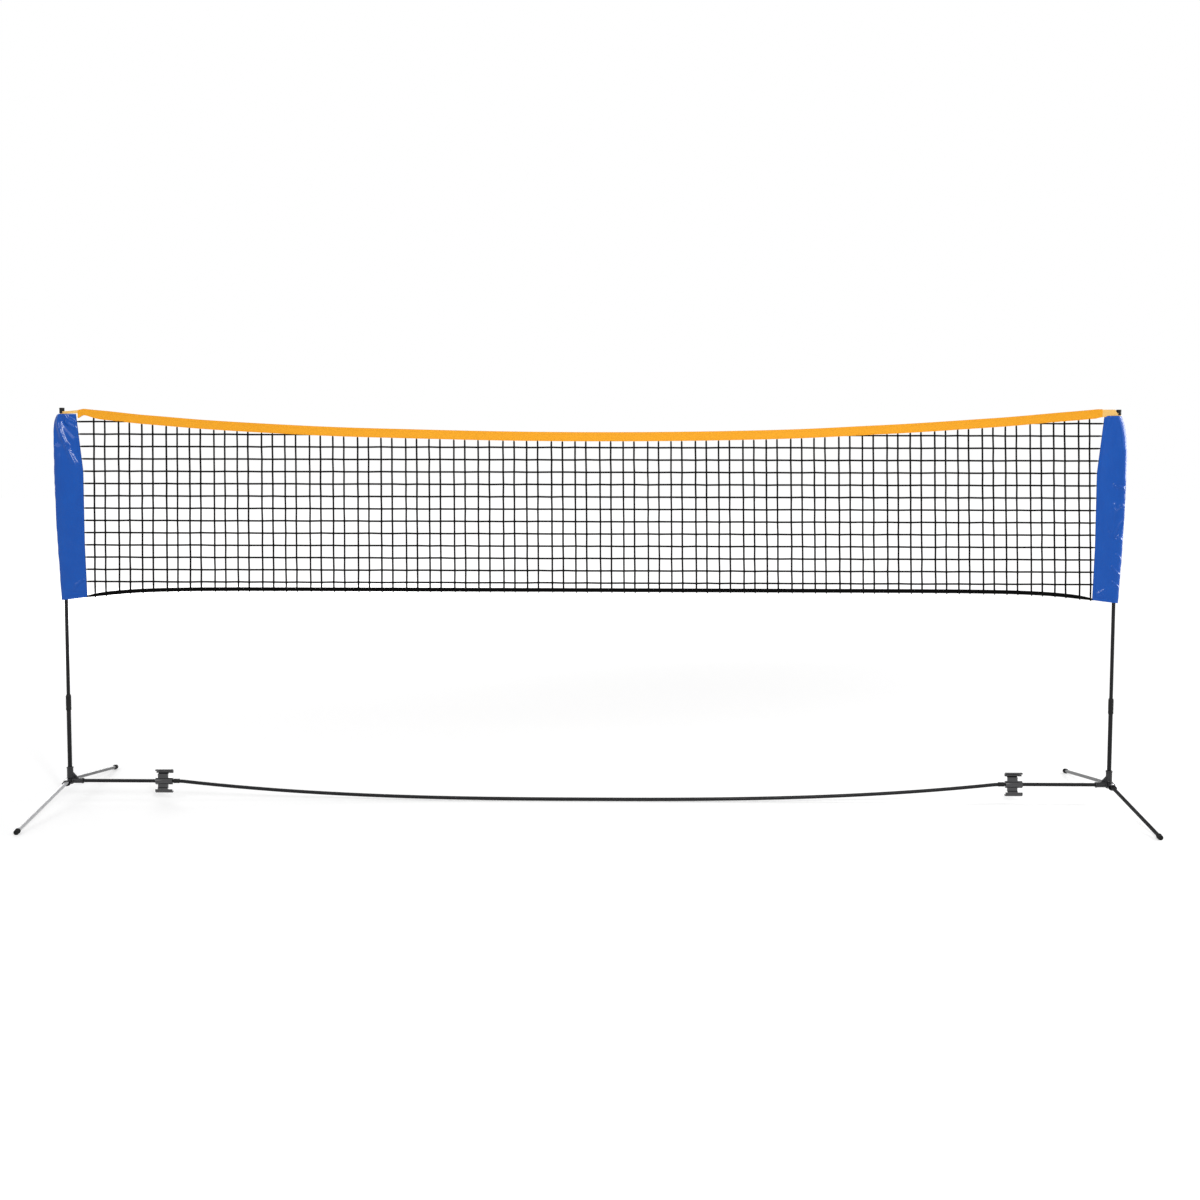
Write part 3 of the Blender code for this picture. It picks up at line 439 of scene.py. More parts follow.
def dressed(piece, slot, body, *nodes, finish=None, sharp=35.0):
    """Shades a piece, gives it its finish and body, and hides the nodes that it stands for."""
    mesh = piece.data
    mesh.materials.clear()
    mesh.materials.append(FINISH[finish or slot])
    mesh.shade_smooth()
    mesh.set_sharp_from_angle(angle=math.radians(sharp))
    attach(piece, body)
    if nodes:
        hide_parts(*nodes)
    return piece


def softened(shape, width, steps=2, degrees=30.0):
    """Bevels every edge that is sharper than the given angle."""
    limit = math.radians(degrees)
    sharp = [edge for edge in shape.edges if len(edge.link_faces) == 2]
    sharp = [edge for edge in sharp if edge.calc_face_angle(0.0) > limit]
    bmesh.ops.bevel(
        shape,
        geom=sharp,
        offset=width,
        offset_type="OFFSET",
        segments=steps,
        profile=0.5,
        affect="EDGES",
        material=-1,
        clamp_overlap=True,
    )
    return shape


def turned(profile, closed=False, sides=ROUND_SIDES, edge=0.0):
    """Spins a profile of (radius, height) about Z, and rounds its corners by an edge width."""
    shape = bmesh.new()
    points = [shape.verts.new((radius, 0, height)) for radius, height in profile]
    ends = list(zip(points, points[1:]))
    if closed:
        ends.append((points[-1], points[0]))
    lines = [shape.edges.new(pair) for pair in ends]
    bmesh.ops.spin(
        shape,
        geom=points + lines,
        axis=(0, 0, 1),
        cent=(0, 0, 0),
        angle=2 * math.pi,
        steps=sides,
        use_merge=True,
    )
    bmesh.ops.remove_doubles(shape, verts=shape.verts, dist=TOUCHING)
    bmesh.ops.recalc_face_normals(shape, faces=shape.faces)
    return softened(shape, edge) if edge else shape


def moved(shape, matrix):
    """The shape with the matrix applied to its vertices."""
    bmesh.ops.transform(shape, matrix=matrix, verts=shape.verts)
    return shape


def arc(centre, radii, start, end, steps):
    """Points along a round or oval arc between two angles in degrees."""
    angles = [math.radians(start + (end - start) * step / steps) for step in range(steps + 1)]
    return [(centre[0] + radii[0] * math.cos(a), centre[1] + radii[1] * math.sin(a)) for a in angles]


def eased(share):
    """A share from 0 to 1 that starts and ends gently."""
    return share * share * (3 - 2 * share)


# %% Solids to join and cut with
def solid_box(low, high, matrix=Matrix.Identity(4)):
    shape = bmesh.new()
    bmesh.ops.create_cube(shape, size=1.0)
    low, high = Vector(low), Vector(high)
    bmesh.ops.scale(shape, vec=high - low, verts=shape.verts)
    bmesh.ops.translate(shape, vec=(low + high) / 2, verts=shape.verts)
    return from_bmesh("box", moved(shape, matrix))


def solid_rod(radius, low, high, matrix=Matrix.Identity(4)):
    return from_bmesh("rod", moved(turned([(0, high), (radius, high), (radius, low), (0, low)]), matrix))


# %% Read the sizes that the pieces share
NET_BODY = "net_and_left_post"
UPPER_BODIES = {-1: NET_BODY, 1: "right_post"}
SIDES_OF_STAND = (("left", -1), ("right", 1))
ENDS_OF_STAND = (("front", -1), ("rear", 1))
ALONG_X = Matrix.Rotation(math.pi / 2, 4, "Y")
ALONG_Y = Matrix.Rotation(-math.pi / 2, 4, "X")
WALL = 0.0010
GAP = 0.0003


def middle_of(node):
    low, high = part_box(node)
    return (low + high) / 2


upper_low, upper_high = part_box("post_upper_right")
lower_low, lower_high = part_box("post_lower_right")
stub_low, stub_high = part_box("rail_stub_right")
POST_X = middle_of("post_upper_right").x
UPPER_RADIUS = (upper_high.x - upper_low.x) / 2
LOWER_RADIUS = (lower_high.x - lower_low.x) / 2
RAIL_RADIUS = (stub_high.y - stub_low.y) / 2
HUB_HEIGHT = middle_of("rail_stub_right").z
STUB_END = stub_low.x
PIN_REACH = JOINTS["rear_leg_right_fold"]["pos_m"][1]
LEG_SLOPE = math.asin(JOINTS["rear_leg_right_fold"]["axis"][1])
print(f"posts at x = {POST_X:.3f}, hubs at z = {HUB_HEIGHT:.3f}")
print(f"legs slope {math.degrees(LEG_SLOPE):.1f} degrees")

# %% [markdown]
# ## Posts
#
# Each post is two steel tubes, one sliding in the other, with a turning collar where they meet and a
# plug on top. Tubes are turned from a closed profile, so the wall has its real thickness at the rims.
# The collar's flutes are a wave on its radius: a loop over its vertices is shorter than a cutter. The
# plug's skirt is pressed down over the tape's loop, and a slot on the net side lets the loop out.

# %% Tubes of the posts
TUBE_EDGE = 0.00025

for side_name, side in SIDES_OF_STAND:
    tubes = [
        ("upper", UPPER_RADIUS, upper_low.z, upper_high.z, UPPER_BODIES[side]),
        ("lower", LOWER_RADIUS, lower_low.z, lower_high.z, "stand"),
    ]
    for label, radius, low, high, body in tubes:
        profile = [(radius, high), (radius, low), (radius - WALL, low), (radius - WALL, high)]
        post = turned(profile, closed=True, edge=TUBE_EDGE)
        post = moved(post, Matrix.Translation((side * POST_X, 0, 0)))
        piece = from_bmesh(f"{label}_tube_{side_name}", post)
        dressed(piece, "black_tube", body, f"post_{label}_{side_name}")
print("post tubes", f"{UPPER_RADIUS * 2000:.1f} and {LOWER_RADIUS * 2000:.1f} mm across")

# %% Locks with their flutes
LOCK_FLUTES = 12
LOCK_SIDES = 96
FLUTE_DEPTH = 0.0006
FLUTE_FADE = 0.006
GRIP_LENGTH = 0.0404
GRIP_RINGS = 20
GRIP_START = 0.0066
LOCK_WALL = 0.0014
LOCK_NECK = [(0.0, 0.0), (0.0006, 0.0012), (0.0007, 0.0030)]
LOCK_SHOULDER = 0.0052
LOCK_GROOVE = [(0.0005, 0.0012), (0.0005, 0.0030), (0.0, 0.0042)]
LOCK_RIM = [(0.0, 0.001), (0.0006, 0.0)]
LOCK_SEAT = (0.001, 0.002)

lock_low, lock_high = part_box("height_lock_right")
lock_wide = LOWER_RADIUS + GAP
lock_narrow = UPPER_RADIUS + GAP
lock_outside = lock_wide + LOCK_WALL + GAP
joint_height = lower_high.z


def lock_shape():
    """The collar in place on the right post's axis, at the origin in X and Y."""
    neck = lock_narrow + LOCK_WALL
    start = lock_high.z - GRIP_START
    grip = [start - GRIP_LENGTH * step / GRIP_RINGS for step in range(GRIP_RINGS + 1)]
    profile = [(neck + rise, lock_high.z - down) for rise, down in LOCK_NECK]
    profile.append((lock_outside, lock_high.z - LOCK_SHOULDER))
    profile += [(lock_outside, height) for height in grip]
    profile += [(lock_outside - depth, grip[-1] - down) for depth, down in LOCK_GROOVE]
    profile += [(lock_outside - depth, lock_low.z + up) for depth, up in LOCK_RIM]
    profile += [(lock_wide, lock_low.z), (lock_wide, joint_height + LOCK_SEAT[0])]
    profile += [(lock_narrow, joint_height + LOCK_SEAT[1]), (lock_narrow, lock_high.z)]
    shape = turned(profile, closed=True, sides=LOCK_SIDES)
    for vertex in shape.verts:
        radius = vertex.co.xy.length
        inside_grip = grip[-1] < vertex.co.z < grip[0] and radius > lock_outside - TOUCHING
        if inside_grip:
            angle = math.atan2(vertex.co.y, vertex.co.x)
            fade = min(grip[0] - vertex.co.z, vertex.co.z - grip[-1], FLUTE_FADE) / FLUTE_FADE
            wave = 0.5 - 0.5 * math.cos(LOCK_FLUTES * angle)
            vertex.co.xy *= 1 - FLUTE_DEPTH * fade * wave**0.5 / radius
    return shape


for side_name, side in SIDES_OF_STAND:
    lock = moved(lock_shape(), Matrix.Translation((side * POST_X, 0, 0)))
    piece = from_bmesh(f"height_collar_{side_name}", lock)
    dressed(piece, "cap_plastic", f"lock_{side_name}", f"height_lock_{side_name}", sharp=50)
print("locks:", len(piece.data.polygons), "faces each")

# %% Plugs on top of the posts
cap_low, cap_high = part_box("post_cap_right")
cap_outside = (cap_high.x - cap_low.x) / 2
CAP_DROP = 0.003
CAP_TOP = cap_high.z - CAP_DROP
CAP_BOTTOM = 1.5495
CAP_SKIRT = 0.0098
LOOP_ROOM = (0.0089, 1.5578)
CAP_ROUNDING = 0.0022
CAP_SHOULDER = (0.0040, 0.0062)
SLOT_HALF = 0.0083
SLOT_START = 0.0052

for side_name, side in SIDES_OF_STAND:
    centre = (cap_outside - CAP_ROUNDING, CAP_TOP - CAP_ROUNDING)
    profile = [(0, CAP_TOP), *arc(centre, (CAP_ROUNDING, CAP_ROUNDING), 90, 0, 5)]
    profile += [(cap_outside, CAP_TOP - CAP_SHOULDER[0]), (CAP_SKIRT, CAP_TOP - CAP_SHOULDER[1])]
    profile += [(CAP_SKIRT, CAP_BOTTOM), (LOOP_ROOM[0], CAP_BOTTOM), LOOP_ROOM]
    profile += [(UPPER_RADIUS + GAP, LOOP_ROOM[1]), (UPPER_RADIUS + GAP, upper_high.z + GAP)]
    cap = turned([*profile, (0, upper_high.z + GAP)])
    near, far = sorted((-side * SLOT_START, -side * (SLOT_START + CAP_SKIRT)))
    slot = solid_box((near, -SLOT_HALF, 2 * CAP_BOTTOM - LOOP_ROOM[1]), (far, SLOT_HALF, LOOP_ROOM[1]))
    piece = combined(from_bmesh(f"plug_solid_{side_name}", cap), [slot], "DIFFERENCE")
    piece.data.transform(Matrix.Translation((side * POST_X, 0, 0)))
    piece.name = f"top_plug_{side_name}"
    dressed(piece, "cap_plastic", UPPER_BODIES[side], f"post_cap_{side_name}")
    guide = frame["nodes"][f"post_guide_{side_name}"].data
    guide.materials.clear()
    guide.materials.append(FINISH["cap_plastic"])
print("caps", f"{cap_outside * 2000:.1f} mm across")

# %% [markdown]
# ## Ground rail
#
# The rail is thin tube that sags: level where it leaves the hubs, lying on the floor at mid-span. A
# straight tube is turned first, with a ring every few centimetres, and then each ring is lifted to the
# hanging line. The ferrule hides the joint beside each clip.

# %% The line that the rail follows
SAG_POWER = 2.7
STRAIGHT_PAST_STUB = 0.014
RAIL_LOWEST = RAIL_RADIUS + 0.0005
RAIL_RING = 0.03
RAIL_SIDES = 48
middle_low, middle_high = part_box("rail_middle_right")
ferrule_low, ferrule_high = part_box("rail_ferrule_right")
SPIGOT = 0.045
SPIGOT_PLAY = 0.0005
SPIGOT_SWAGE = 0.002
SPIGOT_RADIUS = RAIL_RADIUS - WALL - SPIGOT_PLAY
THINNEST = 0.002


def rail_height(x):
    share = min(abs(x) / (STUB_END - STRAIGHT_PAST_STUB), 1.0)
    return RAIL_LOWEST + (HUB_HEIGHT - RAIL_LOWEST) * share**SAG_POWER


def rail_shape(start, end, spigot):
    """A tube along X from start out to end, with a swaged spigot past its end if it has one."""
    rings = max(2, round((end - start) / RAIL_RING))
    outer = [(RAIL_RADIUS, start + (end - start) * step / rings) for step in range(rings + 1)]
    if spigot:
        outer[-1] = (RAIL_RADIUS, end - SPIGOT_SWAGE)
        outer += [(SPIGOT_RADIUS, end), (SPIGOT_RADIUS, end + spigot)]
    inner = [(max(radius - WALL, THINNEST), along) for radius, along in reversed(outer)]
    return moved(turned([*reversed(outer), *reversed(inner)], closed=True, sides=RAIL_SIDES), ALONG_X)


# %% Rail sections, stubs, ferrules and the joiner
RAIL_JOINT = middle_high.x - SPIGOT
RIB_HALF = middle_low.x
FERRULE_EDGE = 0.0002
FERRULE_LIP = [(0.0006, 0.0), (0.0, 0.0015), (0.0, 0.004), (0.0004, 0.005)]
ferrule_radius = (ferrule_high.y - ferrule_low.y) / 2
half = (ferrule_high.x - ferrule_low.x) / 2

for side_name, side in SIDES_OF_STAND:
    turn = Matrix.Rotation(0.0 if side > 0 else math.pi, 4, "Z")
    sections = [
        ("rail_inner", RIB_HALF, RAIL_JOINT, SPIGOT, f"rail_middle_{side_name}"),
        ("rail_outer_tube", RAIL_JOINT, STUB_END, SPIGOT, f"rail_outer_{side_name}"),
        ("rail_stub_tube", STUB_END, stub_high.x, 0.0, f"rail_stub_{side_name}"),
    ]
    for label, start, end, spigot, node in sections:
        section = rail_shape(start + GAP, end - GAP, spigot)
        for vertex in section.verts:
            vertex.co.z += rail_height(vertex.co.x)
        piece = from_bmesh(f"{label}_{side_name}", moved(section, turn))
        dressed(piece, "black_tube", "stand", node, finish="rail_tube")
    profile = [(ferrule_radius - depth, half - along) for depth, along in FERRULE_LIP]
    profile += [(radius, -height) for radius, height in reversed(profile)]
    profile += [(RAIL_RADIUS + GAP, -half), (RAIL_RADIUS + GAP, half)]
    ferrule = moved(turned(profile, closed=True, edge=FERRULE_EDGE), ALONG_X)
    ferrule = moved(ferrule, Matrix.Translation((side * STUB_END, 0, HUB_HEIGHT)))
    piece = from_bmesh(f"ferrule_{side_name}", ferrule)
    dressed(piece, "cap_plastic", "stand", f"rail_ferrule_{side_name}")

rib = RIB_HALF - GAP
profile = [(SPIGOT_RADIUS, SPIGOT), (SPIGOT_RADIUS, rib), (RAIL_RADIUS, rib), (RAIL_RADIUS, -rib)]
profile += [(SPIGOT_RADIUS, -rib), (SPIGOT_RADIUS, -SPIGOT)]
profile += [(SPIGOT_RADIUS - WALL, -SPIGOT), (SPIGOT_RADIUS - WALL, SPIGOT)]
joiner = moved(moved(turned(profile, closed=True), ALONG_X), Matrix.Translation((0, 0, rail_height(0))))
dressed(from_bmesh("rail_dowel", joiner), "cap_plastic", "stand", "rail_joiner")
print(f"rail joints at x = {RAIL_JOINT:.3f} and {STUB_END:.3f}")

# %% [markdown]
# ## Hubs
#
# A hub is one moulding: a socket for the post, one for the rail, a web between them and a fork for each
# leg. Mouldings have soft inside corners that a plain union lacks. So the solids are joined and cut,
# then wrapped in a fine voxel skin and smoothed a little, which rounds every edge as a mould does.

# %% Solids of the hub
HUB_WALL = 0.0032
HUB_BASE = 0.013
SOCKET_TOP = 0.058
RAIL_SOCKET_END = 0.054
SOCKET_FLOOR = 0.0095
RAIL_SOCKET_FLOOR = 0.014
LUG_RADIUS = 0.0115
LUG_THICKNESS = 0.004
LUG_GAP = RAIL_RADIUS + GAP
LUG_OUTSIDE = LUG_GAP + LUG_THICKNESS
SLOT_BACK = 0.0085
STOP_LENGTH = 0.022
STOP_THICKNESS = 0.004
PIN_RADIUS = 0.003
WEB_THICKNESS = 0.007
WEB_OUTLINE = [(0, 0), (0.036, 0), (0.036, 0.0088), (0.0112, 0.0355), (0, 0.0355)]
COLLAR_BEAD = 0.0012
BEAD_LENGTH = 0.006
BEAD_FADE = 0.002
SMOOTHINGS = 4
VOXEL = 0.0007
LAP = 0.0003
HUB_RADIUS = LOWER_RADIUS + GAP + HUB_WALL + GAP
RAIL_SOCKET_RADIUS = RAIL_RADIUS + GAP + HUB_WALL


def leg_frame(end):
    """From a leg's axes to its hub's: the leg runs out along its Y, and its pin is along its Z."""
    turn = Matrix.Rotation(math.pi if end < 0 else 0.0, 4, "Z")
    offset = Matrix.Translation((0, end * PIN_REACH, 0))
    return offset @ turn @ Matrix.Rotation(-LEG_SLOPE, 4, "X")


def fork(end):
    """What one leg's fork adds to the hub and takes from it. The stop is on the outboard side."""
    place = leg_frame(end)
    outboard = -end
    inside = outboard * LUG_GAP
    stop = sorted((inside - outboard * LAP, inside + outboard * STOP_THICKNESS))
    side, flank = LUG_RADIUS - LAP, LUG_OUTSIDE - LAP
    slot = sorted((inside, -outboard * 2 * LUG_RADIUS))
    added = [
        solid_box((-side, LAP * 10 - PIN_REACH, -flank), (side, 0, flank), place),
        solid_rod(LUG_RADIUS, -LUG_OUTSIDE, LUG_OUTSIDE, place),
        solid_box((stop[0], -LAP, LAP - LUG_GAP), (stop[1], STOP_LENGTH, LUG_GAP - LAP), place),
    ]
    taken = [
        solid_box((slot[0], -SLOT_BACK, -LUG_GAP), (slot[1], 2 * STOP_LENGTH, LUG_GAP), place),
        solid_rod(PIN_RADIUS + GAP, -2 * LUG_OUTSIDE, 2 * LUG_OUTSIDE, place),
    ]
    return added, taken


def web():
    """The three-cornered web between the two sockets, as a flat outline with a thickness."""
    shape = bmesh.new()
    face = shape.faces.new([shape.verts.new((x, 0, z)) for x, z in WEB_OUTLINE])
    bmesh.ops.translate(shape, vec=(0, -WEB_THICKNESS / 2, 0), verts=shape.verts)
    grown = bmesh.ops.extrude_face_region(shape, geom=[face])
    far_side = [item for item in grown["geom"] if isinstance(item, bmesh.types.BMVert)]
    bmesh.ops.translate(shape, vec=(0, WEB_THICKNESS, 0), verts=far_side)
    bmesh.ops.recalc_face_normals(shape, faces=shape.faces)
    return from_bmesh("web", shape)


def skinned(piece):
    """The piece wrapped in a fine voxel skin, which also makes lapping solids one."""
    skin = piece.modifiers.new("skin", "REMESH")
    skin.mode = "VOXEL"
    skin.voxel_size = VOXEL
    return settled(piece)


# %% One hub, and its twin
def hub_piece():
    bead = HUB_RADIUS + COLLAR_BEAD
    profile = [(0, SOCKET_TOP), (bead, SOCKET_TOP), (bead, SOCKET_TOP - BEAD_LENGTH)]
    profile.append((HUB_RADIUS, SOCKET_TOP - BEAD_LENGTH - BEAD_FADE))
    profile += [(HUB_RADIUS, -HUB_BASE), (0, -HUB_BASE)]
    body = from_bmesh("hub_body", turned(profile))
    added = [solid_rod(RAIL_SOCKET_RADIUS, LAP, RAIL_SOCKET_END - LAP, ALONG_X), web()]
    bead = RAIL_SOCKET_RADIUS + COLLAR_BEAD
    added.append(solid_rod(bead, RAIL_SOCKET_END - BEAD_LENGTH, RAIL_SOCKET_END, ALONG_X))
    taken = [solid_rod(LOWER_RADIUS + GAP, SOCKET_FLOOR, 2 * SOCKET_TOP)]
    taken.append(solid_rod(RAIL_RADIUS + GAP, RAIL_SOCKET_FLOOR, 2 * RAIL_SOCKET_END, ALONG_X))
    for _, end in ENDS_OF_STAND:
        more, less = fork(end)
        added += more
        taken += less
    solid = bmesh.new()
    for other in (body, *added):
        solid.from_mesh(other.data)
        bpy.data.objects.remove(other)
    shape = to_bmesh(skinned(combined(skinned(from_bmesh("hub_solid", solid)), taken, "DIFFERENCE")))
    for _ in range(SMOOTHINGS):
        bmesh.ops.smooth_vert(
            shape, verts=shape.verts, factor=0.5, use_axis_x=True, use_axis_y=True, use_axis_z=True
        )
    return shape


hub = hub_piece()
for side_name, side in SIDES_OF_STAND:
    spot = Matrix.Translation((side * POST_X, 0, HUB_HEIGHT))
    spot = spot @ Matrix.Rotation(0.0 if side < 0 else math.pi, 4, "Z")
    piece = from_bmesh(f"hub_moulding_{side_name}", moved(hub.copy(), spot))
    dressed(piece, "hub_plastic", "stand", f"base_hub_{side_name}", sharp=180)
hub.free()
print("hub:", len(piece.data.polygons), "faces")

# %% [markdown]
# ## Legs, rivets and feet
#
# A leg is a tube whose inner end is closed and drilled for its rivet. Its rubber foot has a bead at the
# mouth and grooves round the grip, and it is worn flat where it stands: the vertices that would go
# below the floor are set on it. The legs are one grey tube, but the left front leg has a paler copy of
# its finish, a painted sheen, and the right front leg a near-black copy, a painted shade, so the legs
# have three finishes.

# %% Legs
FOOT_GRIP = 0.014
FOOT_SOLE = 0.005
FOOT_WALL = 0.0024
FOOT_ROUNDING = 0.0026
EYE_HALF = 0.0066
EYE_WALL = 0.012
RIVET_HEAD = (0.0052, 0.0016)
RIVET_RIM = 0.0006
GROOVE_STARTS = (0.0058, 0.0098)
FOOT_GROOVE = [(0.0, 0.0), (0.0006, 0.0007), (0.0006, 0.0015), (0.0, 0.0022)]
FOOT_BEAD = [(0.0, 0.0038), (0.0008, 0.0030), (0.0008, 0.0006), (0.0003, 0.0)]
LEG_LENGTH = 0.46375
leg_bore = RAIL_RADIUS - WALL


def leg_shape():
    """The tube along Y with a domed inner end, drilled along Z for its rivet."""
    profile = [(0, -EYE_HALF), *arc((0, 0), (RAIL_RADIUS, EYE_HALF), -90, 0, 6)[1:]]
    profile += [(RAIL_RADIUS, LEG_LENGTH), (leg_bore, LEG_LENGTH), (leg_bore, EYE_WALL), (0, EYE_WALL)]
    body = from_bmesh("leg", moved(turned(profile), ALONG_Y))
    return combined(body, [solid_rod(PIN_RADIUS + GAP, -2 * RAIL_RADIUS, 2 * RAIL_RADIUS)], "DIFFERENCE")


def rivet_shape():
    """A rivet with a domed head at each end, along Z."""
    seat = LUG_OUTSIDE + GAP
    centre = (0, seat + RIVET_RIM)
    head = [(0, centre[1] + RIVET_HEAD[1]), *arc(centre, RIVET_HEAD, 90, 0, 6)[1:]]
    head += [(RIVET_HEAD[0], seat), (PIN_RADIUS, seat)]
    return turned(head + [(radius, -height) for radius, height in reversed(head)], sides=40)


def foot_shape():
    """The rubber cup in the leg's axes, with a bead at its mouth and grooves in its grip."""
    start = LEG_LENGTH - FOOT_GRIP
    tip = LEG_LENGTH + FOOT_SOLE
    outside = RAIL_RADIUS + GAP + FOOT_WALL
    centre = (outside - FOOT_ROUNDING, tip - FOOT_ROUNDING)
    profile = [(0, tip), *arc(centre, (FOOT_ROUNDING, FOOT_ROUNDING), 90, 0, 6)]
    for below in GROOVE_STARTS:
        profile += [(outside - depth, tip - below - along) for depth, along in FOOT_GROOVE]
    profile += [(outside + rise, start + along) for rise, along in FOOT_BEAD]
    profile += [(RAIL_RADIUS + GAP, start), (RAIL_RADIUS + GAP, LEG_LENGTH + GAP), (0, LEG_LENGTH + GAP)]
    return moved(turned(profile), ALONG_Y)


# The front legs take the copies of the grey tube with painted sheen and painted shade.
LEG_FINISHES = {"front_left": "sheen_painted_tube", "front_right": "shade_painted_tube"}
leg_model = leg_shape()
for side_name, side in SIDES_OF_STAND:
    for end_name, end in ENDS_OF_STAND:
        spot = Matrix.Translation((side * POST_X, 0, HUB_HEIGHT)) @ leg_frame(end)
        body = f"{end_name}_leg_{side_name}"
        tag = f"{end_name}_{side_name}"
        mesh = leg_model.data.copy()
        mesh.transform(spot)
        leg = linked(f"leg_tube_{tag}", mesh)
        dressed(leg, "grey_tube", body, f"leg_{tag}", finish=LEG_FINISHES.get(tag))
        rivet = from_bmesh(f"rivet_{tag}", moved(rivet_shape(), spot))
        dressed(rivet, "rivet_steel", "stand", f"leg_pin_{tag}")
        foot = moved(foot_shape(), spot)
        for vertex in foot.verts:
            vertex.co.z = max(vertex.co.z, 0.0)
        dressed(from_bmesh(f"rubber_foot_{tag}", foot), "foot_rubber", body, f"foot_{tag}")
bpy.data.objects.remove(leg_model)
print(f"legs {LEG_LENGTH:.3f} m long from the pin")

# %% [markdown]
# ## Storage clips
#
# A clip is a short extrusion: a collar round the rail and a hook on each side that snaps over a folded
# leg. Its section is drawn once with arcs and given a thickness and a rounded edge as a flat curve. The
# second hook is the first turned half round, so that both mouths lead when the clip is turned.

# %% The clip's section
CLIP_WALL = 0.0044
CLIP_NECK = 0.008
NECK_LENGTH = 0.040
NECK_SHIFT = 0.005
NOTCH_LOW = 0.0135
NOTCH_HIGH = 0.0310
COLLAR_RADIUS = 0.0125
MOUTH_LOW = -66.0
MOUTH_HIGH = 42.0
CLIP_EDGE = 0.0005
ARC_STEP = 6.0
CUT_REACH = 0.1
clip_low, clip_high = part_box("storage_clip_right")
CLIP_X = (clip_low.x + clip_high.x) / 2
CLIP_LENGTH = clip_high.x - clip_low.x
HOOK_PLAY = 0.00044
HOOK_BORE = RAIL_RADIUS + HOOK_PLAY


def bend(centre, radius, start, end):
    """A round arc of the section, in steps of a few degrees."""
    steps = max(1, math.ceil(abs(end - start) / ARC_STEP))
    return arc(centre, (radius, radius), start, end, steps)


def clip_shape():
    hook_radius = HOOK_BORE + CLIP_WALL
    hook_neck = math.degrees(math.asin(CLIP_NECK / 2 / hook_radius))
    collar_neck = math.degrees(math.asin(CLIP_NECK / 2 / COLLAR_RADIUS))
    centre = (0, PIN_REACH)
    hook = bend(centre, hook_radius, -90 + hook_neck, MOUTH_LOW)
    hook += bend(centre, HOOK_BORE, MOUTH_LOW, -360 + MOUTH_HIGH)
    hook += bend(centre, hook_radius, MOUTH_HIGH, 270 - hook_neck)
    other = [(-x, -y) for x, y in hook]
    back = bend((0, 0), COLLAR_RADIUS, 90 + collar_neck, 270 - collar_neck)
    front = bend((0, 0), COLLAR_RADIUS, -90 + collar_neck, 90 - collar_neck)
    bore = bend((0, 0), RAIL_RADIUS + GAP, 0, 360)[:-1]
    curve = bpy.data.curves.new("clip", "CURVE")
    curve.dimensions = "2D"
    curve.fill_mode = "BOTH"
    curve.extrude = CLIP_LENGTH / 2 - CLIP_EDGE
    curve.bevel_depth = CLIP_EDGE
    curve.bevel_resolution = 2
    curve.offset = -CLIP_EDGE
    for outline in (hook + back + other + front, bore):
        spline = curve.splines.new("POLY")
        spline.points.add(len(outline) - 1)
        spline.use_cyclic_u = True
        for point, (x, y) in zip(spline.points, outline):
            point.co = (x, y, 0, 1)
    shape = to_bmesh(settled(linked("clip", curve)))
    bmesh.ops.remove_doubles(shape, verts=shape.verts, dist=TOUCHING)
    bmesh.ops.recalc_face_normals(shape, faces=shape.faces)
    notches = []
    for low, high in ((NOTCH_LOW, NOTCH_HIGH), (-NOTCH_HIGH, -NOTCH_LOW)):
        for end in (-1, 1):
            near, far = sorted((NECK_SHIFT + end * NECK_LENGTH / 2, end * CLIP_LENGTH))
            notches.append(solid_box((-CUT_REACH, low, near), (CUT_REACH, high, far)))
    shape = to_bmesh(combined(from_bmesh("clip", shape), notches, "DIFFERENCE"))
    return moved(shape, Matrix(((0, 0, -1, 0), (-1, 0, 0, 0), (0, 1, 0, 0), (0, 0, 0, 1))))


for side_name, side in SIDES_OF_STAND:
    clip = moved(clip_shape(), Matrix.Translation((side * CLIP_X, 0, HUB_HEIGHT)))
    piece = from_bmesh(f"leg_clip_{side_name}", clip)
    dressed(piece, "clip_plastic", f"clip_{side_name}", f"storage_clip_{side_name}")
print("clip:", len(piece.data.polygons), "faces")

# %% [markdown]
# ## Cloth by rule
#
# Tape, band, sleeves and loops are flat cuts held in known curves, so each is a grid whose points a
# rule places, which keeps the grid's own UV map true to the cut. Solidify gives the cloth a thickness
# on both faces. Stitches are short round cords that dip into the cloth at both ends.

# %% Sheets and stitches
THREAD_RADIUS = 0.00035
STITCH = 0.0034
STITCH_PITCH = 0.0048
STITCH_TIP = 0.8


def sheet(name, columns, rows, spot, wall):
    """A grid of cloth whose points spot(u, v) places, with UVs from 0 to 1 and a real thickness."""
    shape = bmesh.new()
    shape.loops.layers.uv.new("UVMap")
    bmesh.ops.create_grid(shape, x_segments=columns, y_segments=rows, size=0.5, calc_uvs=True)
    for vertex in shape.verts:
        vertex.co = spot(vertex.co.x + 0.5, vertex.co.y + 0.5)
    piece = from_bmesh(name, shape)
    shell = piece.modifiers.new("cloth", "SOLIDIFY")
    shell.thickness = wall
    shell.offset = 0
    return settled(piece)


def cords(name, routes, radius, resolution):
    """One mesh of round cords. Each route is a list of a point and its share of the radius."""
    curve = bpy.data.curves.new(name, "CURVE")
    curve.dimensions = "3D"
    curve.bevel_depth = radius
    curve.bevel_resolution = resolution
    curve.use_fill_caps = True
    for route in routes:
        spline = curve.splines.new("POLY")
        spline.points.add(len(route) - 1)
        for point, (place, share) in zip(spline.points, route):
            point.co = (*place, 1)
            point.radius = share
    return settled(linked(name, curve))


